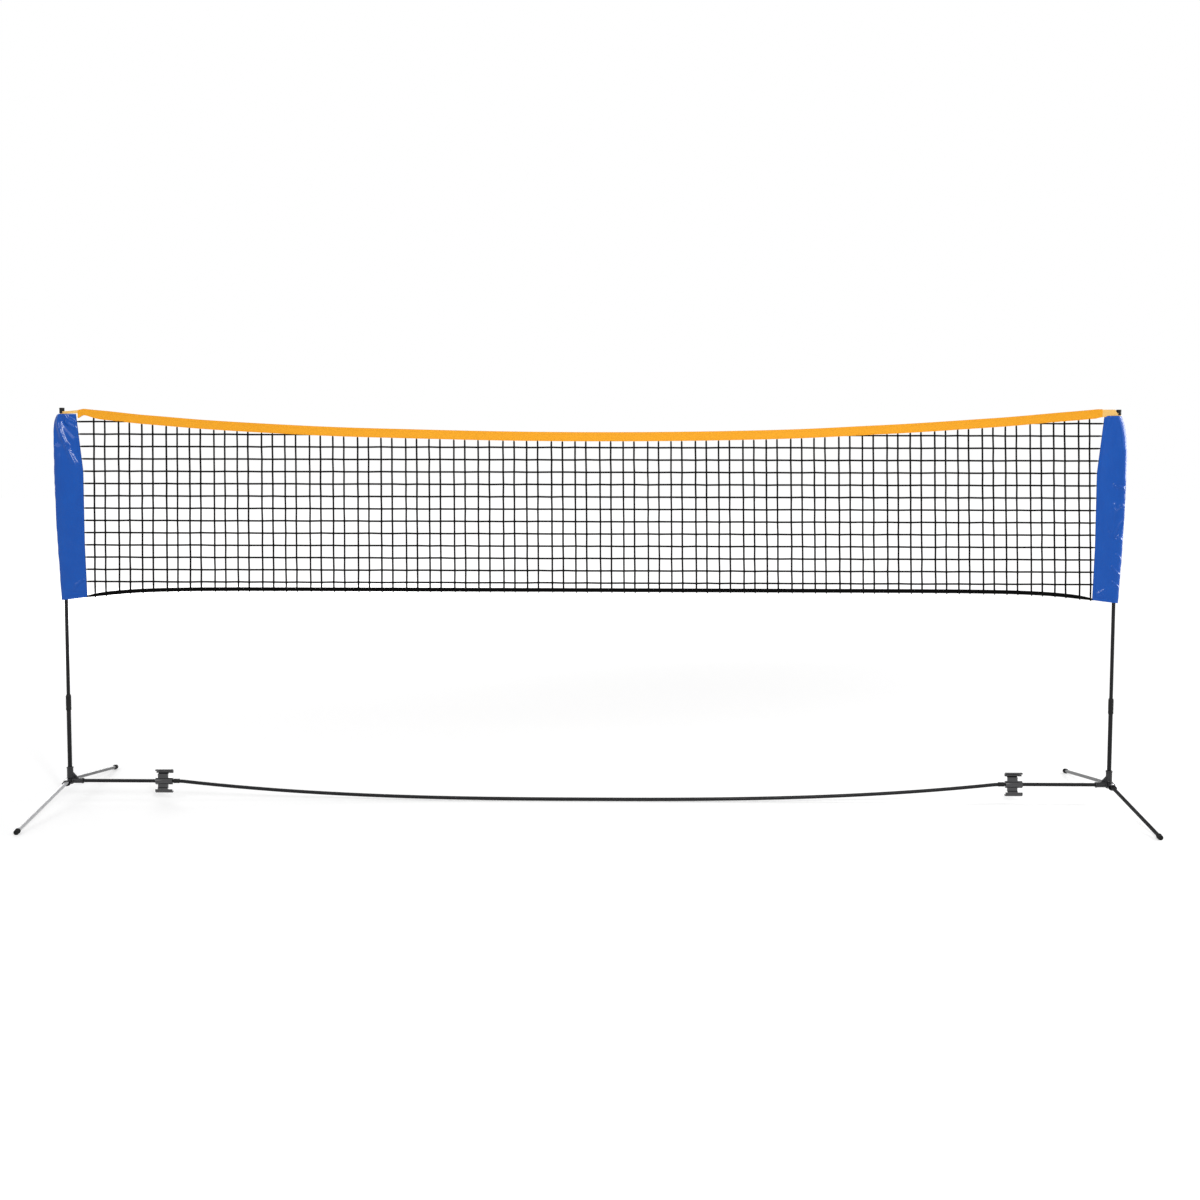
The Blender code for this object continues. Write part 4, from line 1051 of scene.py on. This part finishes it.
def seam(line, length, out, wall):
    """Stitches along line(share) on the cloth's outside, each lifted by the vector out at its middle."""
    count = max(1, int(length / STITCH_PITCH))
    half = STITCH / 2 / length
    dip = out * THREAD_RADIUS
    routes = []
    for number in range(count):
        middle = (number + 0.5) / count
        first, top, last = (line(middle + shift) + out * wall / 2 for shift in (-half, 0, half))
        routes.append([(first - dip, STITCH_TIP), (top + dip, 1.0), (last - dip, STITCH_TIP)])
    return routes


# %% [markdown]
# ## Top tape
#
# The tape is orange webbing folded over the head cord, so its top edge is round and its two faces lie
# close below. It hangs between the posts in a shallow curve that sways a few millimetres, which a table
# of heights gives. The right end is drawn in to the width of the loop that ties it to the post, and the
# left end hangs below its loop as a soft tip.

# %% The curve of the tape
TAPE_MIDDLE = 1.480
TAPE_END = 1.567
TAPE_HALF = 2.022
TAPE_WIDTH = 0.036
LOOP_LOW = 1.5470
LOOP_TOP = 1.5570
END_TOP = {-1: 1.5625, 1: 1.5720}
END_WIDTH = {-1: 0.041, 1: 0.031}
TAPER = 0.028
END_NOTCH = {-1: 0.011, 1: 0.0}
NOTCH_PLACE = 2.000
NOTCH_HALF = 0.042
TAPE_SWAY = [
    (-2.022, 0.002),
    (-1.93, 0.001),
    (-1.75, -0.003),
    (-1.50, -0.0055),
    (-1.10, -0.005),
    (-0.60, -0.0015),
    (0.00, -0.0015),
    (0.80, -0.0028),
    (1.15, 0.0),
    (1.60, 0.0026),
    (1.90, 0.0062),
    (2.022, 0.0070),
]
HEAD_CORD = 0.0023
TAPE_GAP = 0.0026
TAPE_WALL = 0.0008
TAPE_SEAMS = (0.24, 0.90)
TAPE_RIPPLE = (0.0007, 0.0004)


def along_table(table, x):
    """The values beside x in a table, between the places that it gives, as tuples."""
    for before, after in zip(table, table[1:]):
        if x <= after[0] or after is table[-1]:
            share = eased(min(max((x - before[0]) / (after[0] - before[0]), 0.0), 1.0))
            return [low + (high - low) * share for low, high in zip(before[1:], after[1:])]


def tape_edge(x):
    curve = TAPE_MIDDLE + (TAPE_END - TAPE_MIDDLE) * (x / TAPE_HALF) ** 2
    return curve + along_table(TAPE_SWAY, x)[0]


def tape_limits(x):
    """The tape's top and bottom heights at x. Each end is drawn in, the left one to a hanging tip."""
    side = -1 if x < 0 else 1
    share = eased(min((TAPE_HALF - abs(x)) / TAPER, 1.0))
    top = tape_edge(x) * share + END_TOP[side] * (1 - share)
    bottom = (tape_edge(x) - TAPE_WIDTH) * share + (END_TOP[side] - END_WIDTH[side]) * (1 - share)
    notch = END_NOTCH[side] * math.exp(-(((abs(x) - NOTCH_PLACE) / NOTCH_HALF) ** 2))
    return top, bottom + notch


def tape_point(x, down, face):
    """A point of the tape a share of the way down one of its faces, -1 front or 1 back."""
    top, bottom = tape_limits(x)
    drop = down * (top - bottom)
    if drop < HEAD_CORD:
        depth = math.sqrt(HEAD_CORD**2 - (HEAD_CORD - drop) ** 2)
    else:
        depth = TAPE_GAP + (HEAD_CORD - TAPE_GAP) * math.exp(-(((drop - HEAD_CORD) / 0.003) ** 2))
    ripple = TAPE_RIPPLE[0] * math.sin(x * 23) + TAPE_RIPPLE[1] * math.sin(x * 61 + 2)
    return Vector((x, face * depth + ripple * down, top - drop))


def tape_spot(u, v):
    around = 2 * v - 1
    x = TAPE_HALF * math.sin((u - 0.5) * math.pi)
    return tape_point(x, abs(around), -1 if around < 0 else 1)


# %% Weave the tape and sew it
TAPE_FLAT = (4.07, 2 * TAPE_WIDTH)
woven_finish("orange_tape", (0.95, 0.395, 0.015), (0.98, 0.430, 0.022), 0.7, TAPE_FLAT, 900, 2e-4)
tape = sheet("tape_webbing", 420, 28, tape_spot, TAPE_WALL)
dressed(tape, "orange_tape", NET_BODY, "top_tape", sharp=60)
routes = []
sewn = TAPE_HALF - TAPER
for face in (-1, 1):
    out = Vector((0, face, 0))
    for down in TAPE_SEAMS:
        routes += seam(
            lambda share: tape_point((2 * share - 1) * sewn, down, face), 2 * sewn, out, TAPE_WALL
        )
tape_seams = cords("tape_stitches", routes, THREAD_RADIUS, 0)
dressed(tape_seams, "orange_tape", NET_BODY, finish="orange_thread", sharp=60)
print("tape:", len(tape.data.polygons), "faces and", len(routes), "stitches")

# %% [markdown]
# ## Bottom band
#
# The band is narrow black webbing. It runs level under the net and drops near each end, where the
# sleeves' lower corners pull it down and its tips are folded narrower to go into them.

# %% The band
BAND_MIDDLE = 0.852
BAND_DROP = 0.031
BAND_POWER = 12
BAND_WIDTH = 0.0155
BAND_TIP = 0.45
BAND_TAPER = 0.09
BAND_WALL = 0.0024
BAND_RIPPLE = 0.0006
NET_HALF = 2.000
INNER_RISE = 0.006
INNER_RISE_SHARE = 0.3
INNER_PULL = 0.024
INNER_PULL_START = 0.695
SLEEVE_TOP = 1.5465
SLEEVE_BOTTOM = 0.806
BAND_HALF = NET_HALF + 0.004
BAND_FLAT = (4.00, BAND_WIDTH)


def band_height(x):
    return BAND_MIDDLE - BAND_DROP * abs(x / NET_HALF) ** BAND_POWER


def band_width(x):
    share = min(max(BAND_HALF - abs(x), 0.0) / BAND_TAPER, 1.0)
    return BAND_WIDTH * (BAND_TIP + (1 - BAND_TIP) * share * (2 - share))


def sleeve_inner(z):
    share = (z - SLEEVE_BOTTOM) / (SLEEVE_TOP - SLEEVE_BOTTOM)
    rise = INNER_RISE * min(share / INNER_RISE_SHARE, 1.0)
    return NET_HALF + rise + INNER_PULL * max(share - INNER_PULL_START, 0.0) / (1 - INNER_PULL_START)


def band_spot(u, v):
    x = (2 * u - 1) * BAND_HALF
    return Vector((x, BAND_RIPPLE * math.sin(x * 31), band_height(x) + band_width(x) * (v - 0.5)))


colours = (0.002, 0.002, 0.002), (0.005, 0.005, 0.005)
woven_finish("black_webbing", *colours, 0.9, BAND_FLAT, 700, 3e-4, specular=0.03)
band = sheet("band_webbing", 360, 8, band_spot, BAND_WALL)
dressed(band, "black_webbing", NET_BODY, "bottom_band", sharp=60)
print("band:", len(band.data.polygons), "faces")

# %% [markdown]
# ## Net
#
# The net's twine is thick for its mesh. Its uprights go in pairs, narrow and wide gaps in turn, as the
# photograph shows. Every cord is a route with a bead at each crossing, where both cords swell into the
# knot. The tape sags across the top rows, so a row stops where the tape covers it, and an upright runs
# from inside the tape down to the band and is lashed round it. A net hung by hand has slid a little
# along its tape and band, most at mid-span, and a table gives that drift at two heights.

# %% Where the cords cross
TWINE_RADIUS = 0.0035
TIP_TAPER = 0.014
TIP_SHARE = 0.4
KNOT_SWELL = 1.28
KNOT_REACH = 0.0045
KNOT_SIDE = KNOT_SWELL * 0.86
FOOT_INSET = 0.002
HEAD_HIDDEN = 0.008
ROW_HIDDEN = 0.005
COLUMN_PAIRS = 42
PAIR_PITCH = 0.0954
PAIR_GAP = 0.0432
PAIR_SWAY = 0.0013
COLUMN_SHIFT = 0.008
NET_DRIFT = [
    (-1.92, 0.0034, 0.0093),
    (-1.04, 0.0036, 0.0044),
    (-0.50, 0.0060, 0.0045),
    (-0.42, 0.0100, 0.0085),
    (0.00, 0.0141, 0.0097),
    (1.02, 0.0091, -0.0004),
    (1.85, 0.0036, -0.0105),
]
DRIFT_HEIGHTS = (0.93, 1.37)
LOWEST_CORD = 0.8803
ROW_PITCH = 0.0489
ROWS = 14
NET_WANDER = 0.0007
HIDDEN_CORD = 0.012
draw = random.Random(11)


def column_places():
    """The uprights' distances along the net, in pairs whose own gaps are narrow."""
    places = []
    for pair in range(COLUMN_PAIRS):
        middle = (pair - (COLUMN_PAIRS - 1) / 2) * PAIR_PITCH - PAIR_SWAY * (-1) ** pair + COLUMN_SHIFT
        places += [middle - PAIR_GAP / 2, middle + PAIR_GAP / 2]
    return places


COLUMNS = column_places()
ROW_HEIGHTS = [LOWEST_CORD + ROW_PITCH * number for number in range(ROWS)]


def drift(x, z):
    """How far the hand-hung net has slid along at a place, between the places in the table."""
    up = (z - DRIFT_HEIGHTS[0]) / (DRIFT_HEIGHTS[1] - DRIFT_HEIGHTS[0])
    low, high = along_table(NET_DRIFT, x)
    return low + (high - low) * up


def wander():
    return draw.uniform(-NET_WANDER, NET_WANDER)


def under_tape(x, height):
    """Whether a knot at this height hangs clear below the tape."""
    return height < tape_limits(x)[1] - 2 * KNOT_REACH


KNOTS = {}
for row, height in enumerate(ROW_HEIGHTS):
    for column, x in enumerate(COLUMNS):
        KNOTS[row, column] = Vector((x + drift(x, height) + wander(), wander(), height + wander()))
print(f"{len(COLUMNS)} uprights, {len(ROW_HEIGHTS)} rows, outermost at x = {COLUMNS[-1]:.3f}")

# %% Route the cords


def into_tape(height):
    """How far from the middle the tape's lower edge is a little under this height."""
    drop = TAPE_END - TAPE_WIDTH + HIDDEN_CORD - height
    return TAPE_HALF * math.sqrt(max(1 - drop / (TAPE_END - TAPE_MIDDLE), 0.0))


def with_beads(start, knots, end, quick=(True, True)):
    """A route through the knots, swelling at each. A quick end keeps its thickness almost to the tip."""
    shoulders = []
    for tip, knot in ((start, knots[0]), (end, knots[-1])):
        reach = knot - tip
        shoulders.append((tip + reach.normalized() * min(TIP_TAPER, reach.length * 0.6), 1.0))
    route = [(start, TIP_SHARE)]
    if quick[0]:
        route.append(shoulders[0])
    stops = [start, *knots, end]
    for before, knot, after in zip(stops, stops[1:], stops[2:]):
        back = (before - knot).normalized() * KNOT_REACH
        ahead = (after - knot).normalized() * KNOT_REACH
        route += [(knot + back, 1.0), (knot + back / 2, KNOT_SIDE), (knot, KNOT_SWELL)]
        route += [(knot + ahead / 2, KNOT_SIDE), (knot + ahead, 1.0)]
    if quick[1]:
        route.append(shoulders[1])
    route.append((end, TIP_SHARE))
    return route


upright_routes, row_routes = [], []
for column, x in enumerate(COLUMNS):
    bottom = tape_limits(x)[1]
    knots = [KNOTS[row, column] for row in range(ROWS) if under_tape(x, ROW_HEIGHTS[row])]
    low_x = x + drift(x, BAND_MIDDLE)
    foot = Vector((low_x, 0, band_height(low_x) - band_width(low_x) / 2 + FOOT_INSET))
    head = Vector((x + drift(x, bottom), 0, bottom + HEAD_HIDDEN))
    upright_routes.append(with_beads(foot, knots, head))
for row, height in enumerate(ROW_HEIGHTS):
    spans, run = [], []
    for column, x in enumerate(COLUMNS):
        if under_tape(x, height):
            run.append(column)
        elif run:
            spans.append(run)
            run = []
    spans.append(run)
    for span in spans:
        knots = [KNOTS[row, column] for column in span]
        starts_at_sleeve = span[0] == 0
        ends_at_sleeve = span[-1] == len(COLUMNS) - 1
        sewn_at = sleeve_inner(height) + ROW_HIDDEN
        hidden_at = into_tape(height)
        first = Vector((-sewn_at if starts_at_sleeve else hidden_at, 0, height))
        last = Vector((sewn_at if ends_at_sleeve else -hidden_at, 0, height))
        row_routes.append(with_beads(first, knots, last, (starts_at_sleeve, ends_at_sleeve)))
uprights = cords("net_uprights", upright_routes, TWINE_RADIUS, 2)
dressed(uprights, "net_cord", NET_BODY, "net_mesh", finish="net_twine", sharp=80)
crosswise = cords("net_rows", row_routes, TWINE_RADIUS, 2)
dressed(crosswise, "net_cord", NET_BODY, finish="net_twine", sharp=80)
print("net cords:", len(uprights.data.polygons), "and", len(crosswise.data.polygons), "faces")

# %% Lash the uprights to the band
LASHING_SHARE = 0.6
LASHING_STEPS = 12
LASHING_LEAN = 0.0012

lashings = []
for place in COLUMNS:
    x = place + drift(place, BAND_MIDDLE)
    loop = []
    for step in range(LASHING_STEPS + 1):
        angle = 2 * math.pi * step / LASHING_STEPS
        depth = (BAND_WALL / 2 + TWINE_RADIUS * LASHING_SHARE) * math.sin(angle)
        rise = (band_width(x) / 2 + TWINE_RADIUS * LASHING_SHARE) * math.cos(angle)
        lean = LASHING_LEAN * math.sin(angle / 2)
        loop.append((Vector((x + lean, depth, band_height(x) + rise)), LASHING_SHARE))
    lashings.append(loop)
lashing = cords("band_lashings", lashings, TWINE_RADIUS, 1)
dressed(lashing, "net_cord", NET_BODY, finish="net_twine", sharp=80)
print("lashings:", len(lashings))

# %% [markdown]
# ## Sleeves
#
# Each sleeve is one glossy coated cloth, folded round its post and sewn to the net's edge. The post
# pushes it out, the top corner is gathered under the cap, and long folds run down from there and fade
# out. A rule gives the even pocket, and a few named creases add the folds. The cloth starts at the
# net's edge on the front face, goes round the post and comes back to the edge behind it. The right
# sleeve is pressed flat along its outer edge, a slanting strip that mirrors the right softbox, and
# lower down that strip's edge is ragged.

# %% The even pocket
SLEEVE_SLANT = 0.012
SLEEVE_OUTER = 0.0175
SLEEVE_BELLY = 0.019
BELLY_SHARE = 0.75
TOP_PULL = {-1: (0.020, 7), 1: (0.025, 3)}
FACET_DEPTH = 0.83
FACET_BLEND = 6
FACET_RAG = 0.0046
FACET_START = 0.68
FACET_FADE = 0.04
RAGS = 42
BULGE_SKEW = 0.62
BULGE_POWER = 0.8
EDGE_REACH = 0.06
EDGE_THINNING = 0.3
SLEEVE_DEPTH = 0.0118
SLEEVE_EDGE = 0.0030
SLEEVE_WALL = 0.0007
SLEEVE_REST = 0.0009
CRUMPLE = 0.0007
FINE_CRUMPLE = 0.00015
OUTER_WANDER = 0.0012
SEAM_EDGES = ((-1, 0.045), (1, 0.955))
HEMS = (0.018, 0.985)
SLEEVE_FLAT = (0.235, SLEEVE_TOP - SLEEVE_BOTTOM)


def sleeve_outer(side, share):
    belly = SLEEVE_BELLY * math.sin(math.pi / 2 * min(share / BELLY_SHARE, 1.0))
    gathered = max(share - BELLY_SHARE, 0.0) / (1 - BELLY_SHARE)
    pull, power = TOP_PULL[side]
    return POST_X + SLEEVE_OUTER + belly - pull * gathered**power


def pocket_point(side, across, share, face):
    """A point of the even pocket: across runs from the outer fold to the net's edge."""
    low = SLEEVE_BOTTOM + SLEEVE_SLANT * across
    z = low + (SLEEVE_TOP - low) * share
    outer = sleeve_outer(side, share)
    x = outer + (sleeve_inner(z) - outer) * across
    bulge = math.sin(math.pi * across**BULGE_SKEW) ** BULGE_POWER if across < 1 else 0.0
    edge = SLEEVE_EDGE * min(1.0, across / EDGE_REACH) * (1 - EDGE_THINNING * across)
    depth = max(SLEEVE_DEPTH * bulge, edge)
    if side > 0 and across:
        ragged = 0.5 + noise.noise(Vector((share * RAGS, 2.3, 0)))
        ragged *= FACET_RAG * min(max((FACET_START - share) / FACET_FADE, 0.0), 1.0)
        facet = FACET_DEPTH * (outer - x) + max(ragged, 0.0)
        depth = (facet**-FACET_BLEND + depth**-FACET_BLEND) ** (-1 / FACET_BLEND)
    return x, face * depth, z


# %% The folds
CREASES = {
    -1: [
        ([(0.14, 1.00), (0.20, 0.95), (0.28, 0.92), (0.40, 0.877), (0.52, 0.834)], 0.0061, 0.060),
        ([(0.14, 1.00), (0.20, 0.95), (0.26, 0.93)], 0.0020, 0.060),
        ([(0.54, 0.825), (0.61, 0.785), (0.76, 0.735)], 0.0051, 0.055),
        ([(0.42, 1.00), (0.62, 0.975), (0.92, 0.955)], 0.0050, 0.045),
        ([(0.55, 0.955), (0.82, 0.935), (0.99, 0.920)], 0.0050, 0.045),
        ([(0.40, 0.965), (0.60, 0.920), (0.85, 0.880)], -0.0040, 0.055),
        ([(0.08, 0.985), (0.12, 0.930), (0.20, 0.850)], -0.0040, 0.070),
        ([(0.20, 0.750), (0.36, 0.560), (0.45, 0.330)], 0.0020, 0.120),
        ([(0.75, 0.700), (0.70, 0.520), (0.82, 0.300)], 0.0016, 0.110),
        ([(0.62, 0.070), (0.80, 0.090), (0.98, 0.100)], 0.0036, 0.035),
        ([(0.30, 0.040), (0.85, 0.025)], -0.0026, 0.040),
    ],
    1: [
        ([(0.32, 0.990), (0.26, 0.920), (0.24, 0.850)], 0.0026, 0.060),
        ([(0.70, 0.990), (0.86, 0.940), (0.92, 0.880)], 0.0014, 0.060),
        ([(0.02, 0.612), (0.20, 0.620), (0.42, 0.628)], 0.0052, 0.030),
        ([(0.02, 0.520), (0.16, 0.525), (0.36, 0.500)], 0.0046, 0.032),
        ([(0.38, 0.525), (0.46, 0.460), (0.50, 0.390)], 0.0034, 0.050),
        ([(0.02, 0.440), (0.16, 0.420), (0.30, 0.350)], -0.0036, 0.040),
        ([(0.02, 0.330), (0.20, 0.350)], 0.0040, 0.030),
        ([(0.02, 0.230), (0.24, 0.260)], 0.0036, 0.030),
        ([(0.02, 0.150), (0.20, 0.165), (0.36, 0.190)], 0.0044, 0.028),
        ([(0.03, 0.080), (0.30, 0.110)], 0.0038, 0.026),
        ([(0.60, 0.060), (0.90, 0.030)], 0.0026, 0.040),
    ],
}
SLEEVE_ASPECT = 0.15
CREASE_SPREAD = SLEEVE_ASPECT * 1.6
FOLD_FADE = (0.12, 0.10)
REAR_FOLDS = 0.7


def crease_height(side, across, share):
    """The sum of the side's creases: each is a ridge along a bent line, faded at its ends."""
    total = 0.0
    here = Vector((across * SLEEVE_ASPECT, share))
    for points, height, width in CREASES[side]:
        line = [Vector((x * SLEEVE_ASPECT, y)) for x, y in points]
        nearest = []
        for a, b in zip(line, line[1:]):
            along = (here - a).dot(b - a) / (b - a).length_squared
            nearest.append((here - a - (b - a) * min(max(along, 0.0), 1.0)).length)
        total += height * math.exp(-((min(nearest) / (width * CREASE_SPREAD)) ** 2))
    return total


def sleeve_spot(side):
    def spot(u, v):
        across = abs(2 * u - 1)
        face = -1 if u < 0.5 else 1
        x, y, z = pocket_point(side, across, v, face)
        edge_fade = min(1.0, across / FOLD_FADE[0]) * min(1.0, (1 - across) / FOLD_FADE[1])
        rough = noise.noise(Vector((across * 5, v * 16, side * 7 + face * 3)))
        fine = noise.noise(Vector((across * 16, v * 60, side * 5 + face)))
        crumple = CRUMPLE * rough + FINE_CRUMPLE * fine
        fold = crease_height(side, across, v) * (1.0 if face < 0 else REAR_FOLDS)
        y += face * (fold + crumple) * edge_fade
        x += OUTER_WANDER * noise.noise(Vector((v * 26, side * 3, 1.5))) * (1 - across) ** 2
        clear = (UPPER_RADIUS + SLEEVE_REST) ** 2 - (x - POST_X) ** 2
        y = face * max(face * y, math.sqrt(max(clear, 0.0)))
        return Vector((side * x, y, z))

    return spot


# %% Sew the sleeves
colours = (0.001, 0.070, 0.395), (0.003, 0.098, 0.480)
woven_finish("blue_nylon", *colours, 0.42, SLEEVE_FLAT, 1500, 6e-5, specular=0.05, coat=0.40)
width, height = SLEEVE_FLAT
for side_name, side in SIDES_OF_STAND:
    spot = sleeve_spot(side)
    sleeve = sheet(f"sleeve_cloth_{side_name}", 120, 260, spot, SLEEVE_WALL)
    dressed(sleeve, "blue_nylon", NET_BODY, f"net_sleeve_{side_name}", sharp=80)
    routes = []
    for face, edge in SEAM_EDGES:
        out = Vector((0, face, 0))
        routes += seam(lambda share: spot(edge, 0.01 + 0.98 * share), height, out, SLEEVE_WALL)
    for level in HEMS:
        for face, start in ((-1, 0.02), (1, 0.52)):
            out = Vector((0, face, 0))
            routes += seam(lambda share: spot(start + 0.46 * share, level), width / 2, out, SLEEVE_WALL)
    stitches = cords(f"sleeve_stitches_{side_name}", routes, THREAD_RADIUS, 0)
    dressed(stitches, "blue_nylon", NET_BODY, finish="blue_thread", sharp=80)
print("sleeve:", len(sleeve.data.polygons), "faces")

# %% [markdown]
# ## Loops
#
# A loop of the tape's webbing goes round the post and is trapped under the cap's skirt. Its colours are
# painted paler than the tape's, a painted highlight. It is a strip rolled round the post: half a circle
# behind the tube, then two straight runs that come out of the cap's slot and widen until they meet at
# the end of the tape.

# %% Tie the tape to the posts
LOOP_REST = 0.0009
LOOP_WALL = 0.0012
LOOP_TIP = 0.0018
LOOP_INSET = 0.001
LOOP_OVERLAP = 0.006
loop_around = UPPER_RADIUS + LOOP_REST
loop_length = POST_X + loop_around - TAPE_HALF + LOOP_OVERLAP
LOOP_OPENING = {-1: loop_length - 2 * loop_around, 1: 0.009}
LOOP_END = {-1: 0.012, 1: 0.030}
LOOP_FLAT = {-1: (0.155, 0.011), 1: (0.155, 0.021)}


def loop_spot(side):
    def spot(u, v):
        angle = 2 * math.pi * (u - 0.5)
        across = 0.5 - 0.5 * math.cos(angle)
        face = -1.0 if u < 0.5 else 1.0
        reach = loop_length * across
        if reach < loop_around:
            half = math.sqrt(max(loop_around**2 - (loop_around - reach) ** 2, 0.0))
        else:
            share = (reach - loop_around) / (loop_length - loop_around)
            half = loop_around + (LOOP_TIP - loop_around) * share
        drawn = max(reach - 2 * loop_around, 0.0)
        opened = eased(min(drawn / LOOP_OPENING[side], 1.0))
        drawn /= loop_length - 2 * loop_around
        end_top = END_TOP[side] - LOOP_INSET
        high = LOOP_TOP + (end_top - LOOP_TOP) * opened
        low = LOOP_LOW + (end_top - LOOP_END[side] - LOOP_LOW) * drawn
        return Vector((side * (POST_X + loop_around - reach), face * half, low + (high - low) * v))

    return spot


# The loop's pale colours are painted highlight on the tape's orange webbing.
woven_finish("painted_highlight_loop_webbing", (0.93, 0.52, 0.12), (0.97, 0.66, 0.26), 0.7, LOOP_FLAT[-1], 900, 2e-4)
for side_name, side in SIDES_OF_STAND:
    loop = sheet(f"painted_highlight_loop_webbing_{side_name}", 96, 8, loop_spot(side), LOOP_WALL)
    dressed(loop, "orange_tape", NET_BODY, f"tape_loop_{side_name}", finish="painted_highlight_loop_webbing", sharp=60)
print("loops:", len(loop.data.polygons), "faces each")
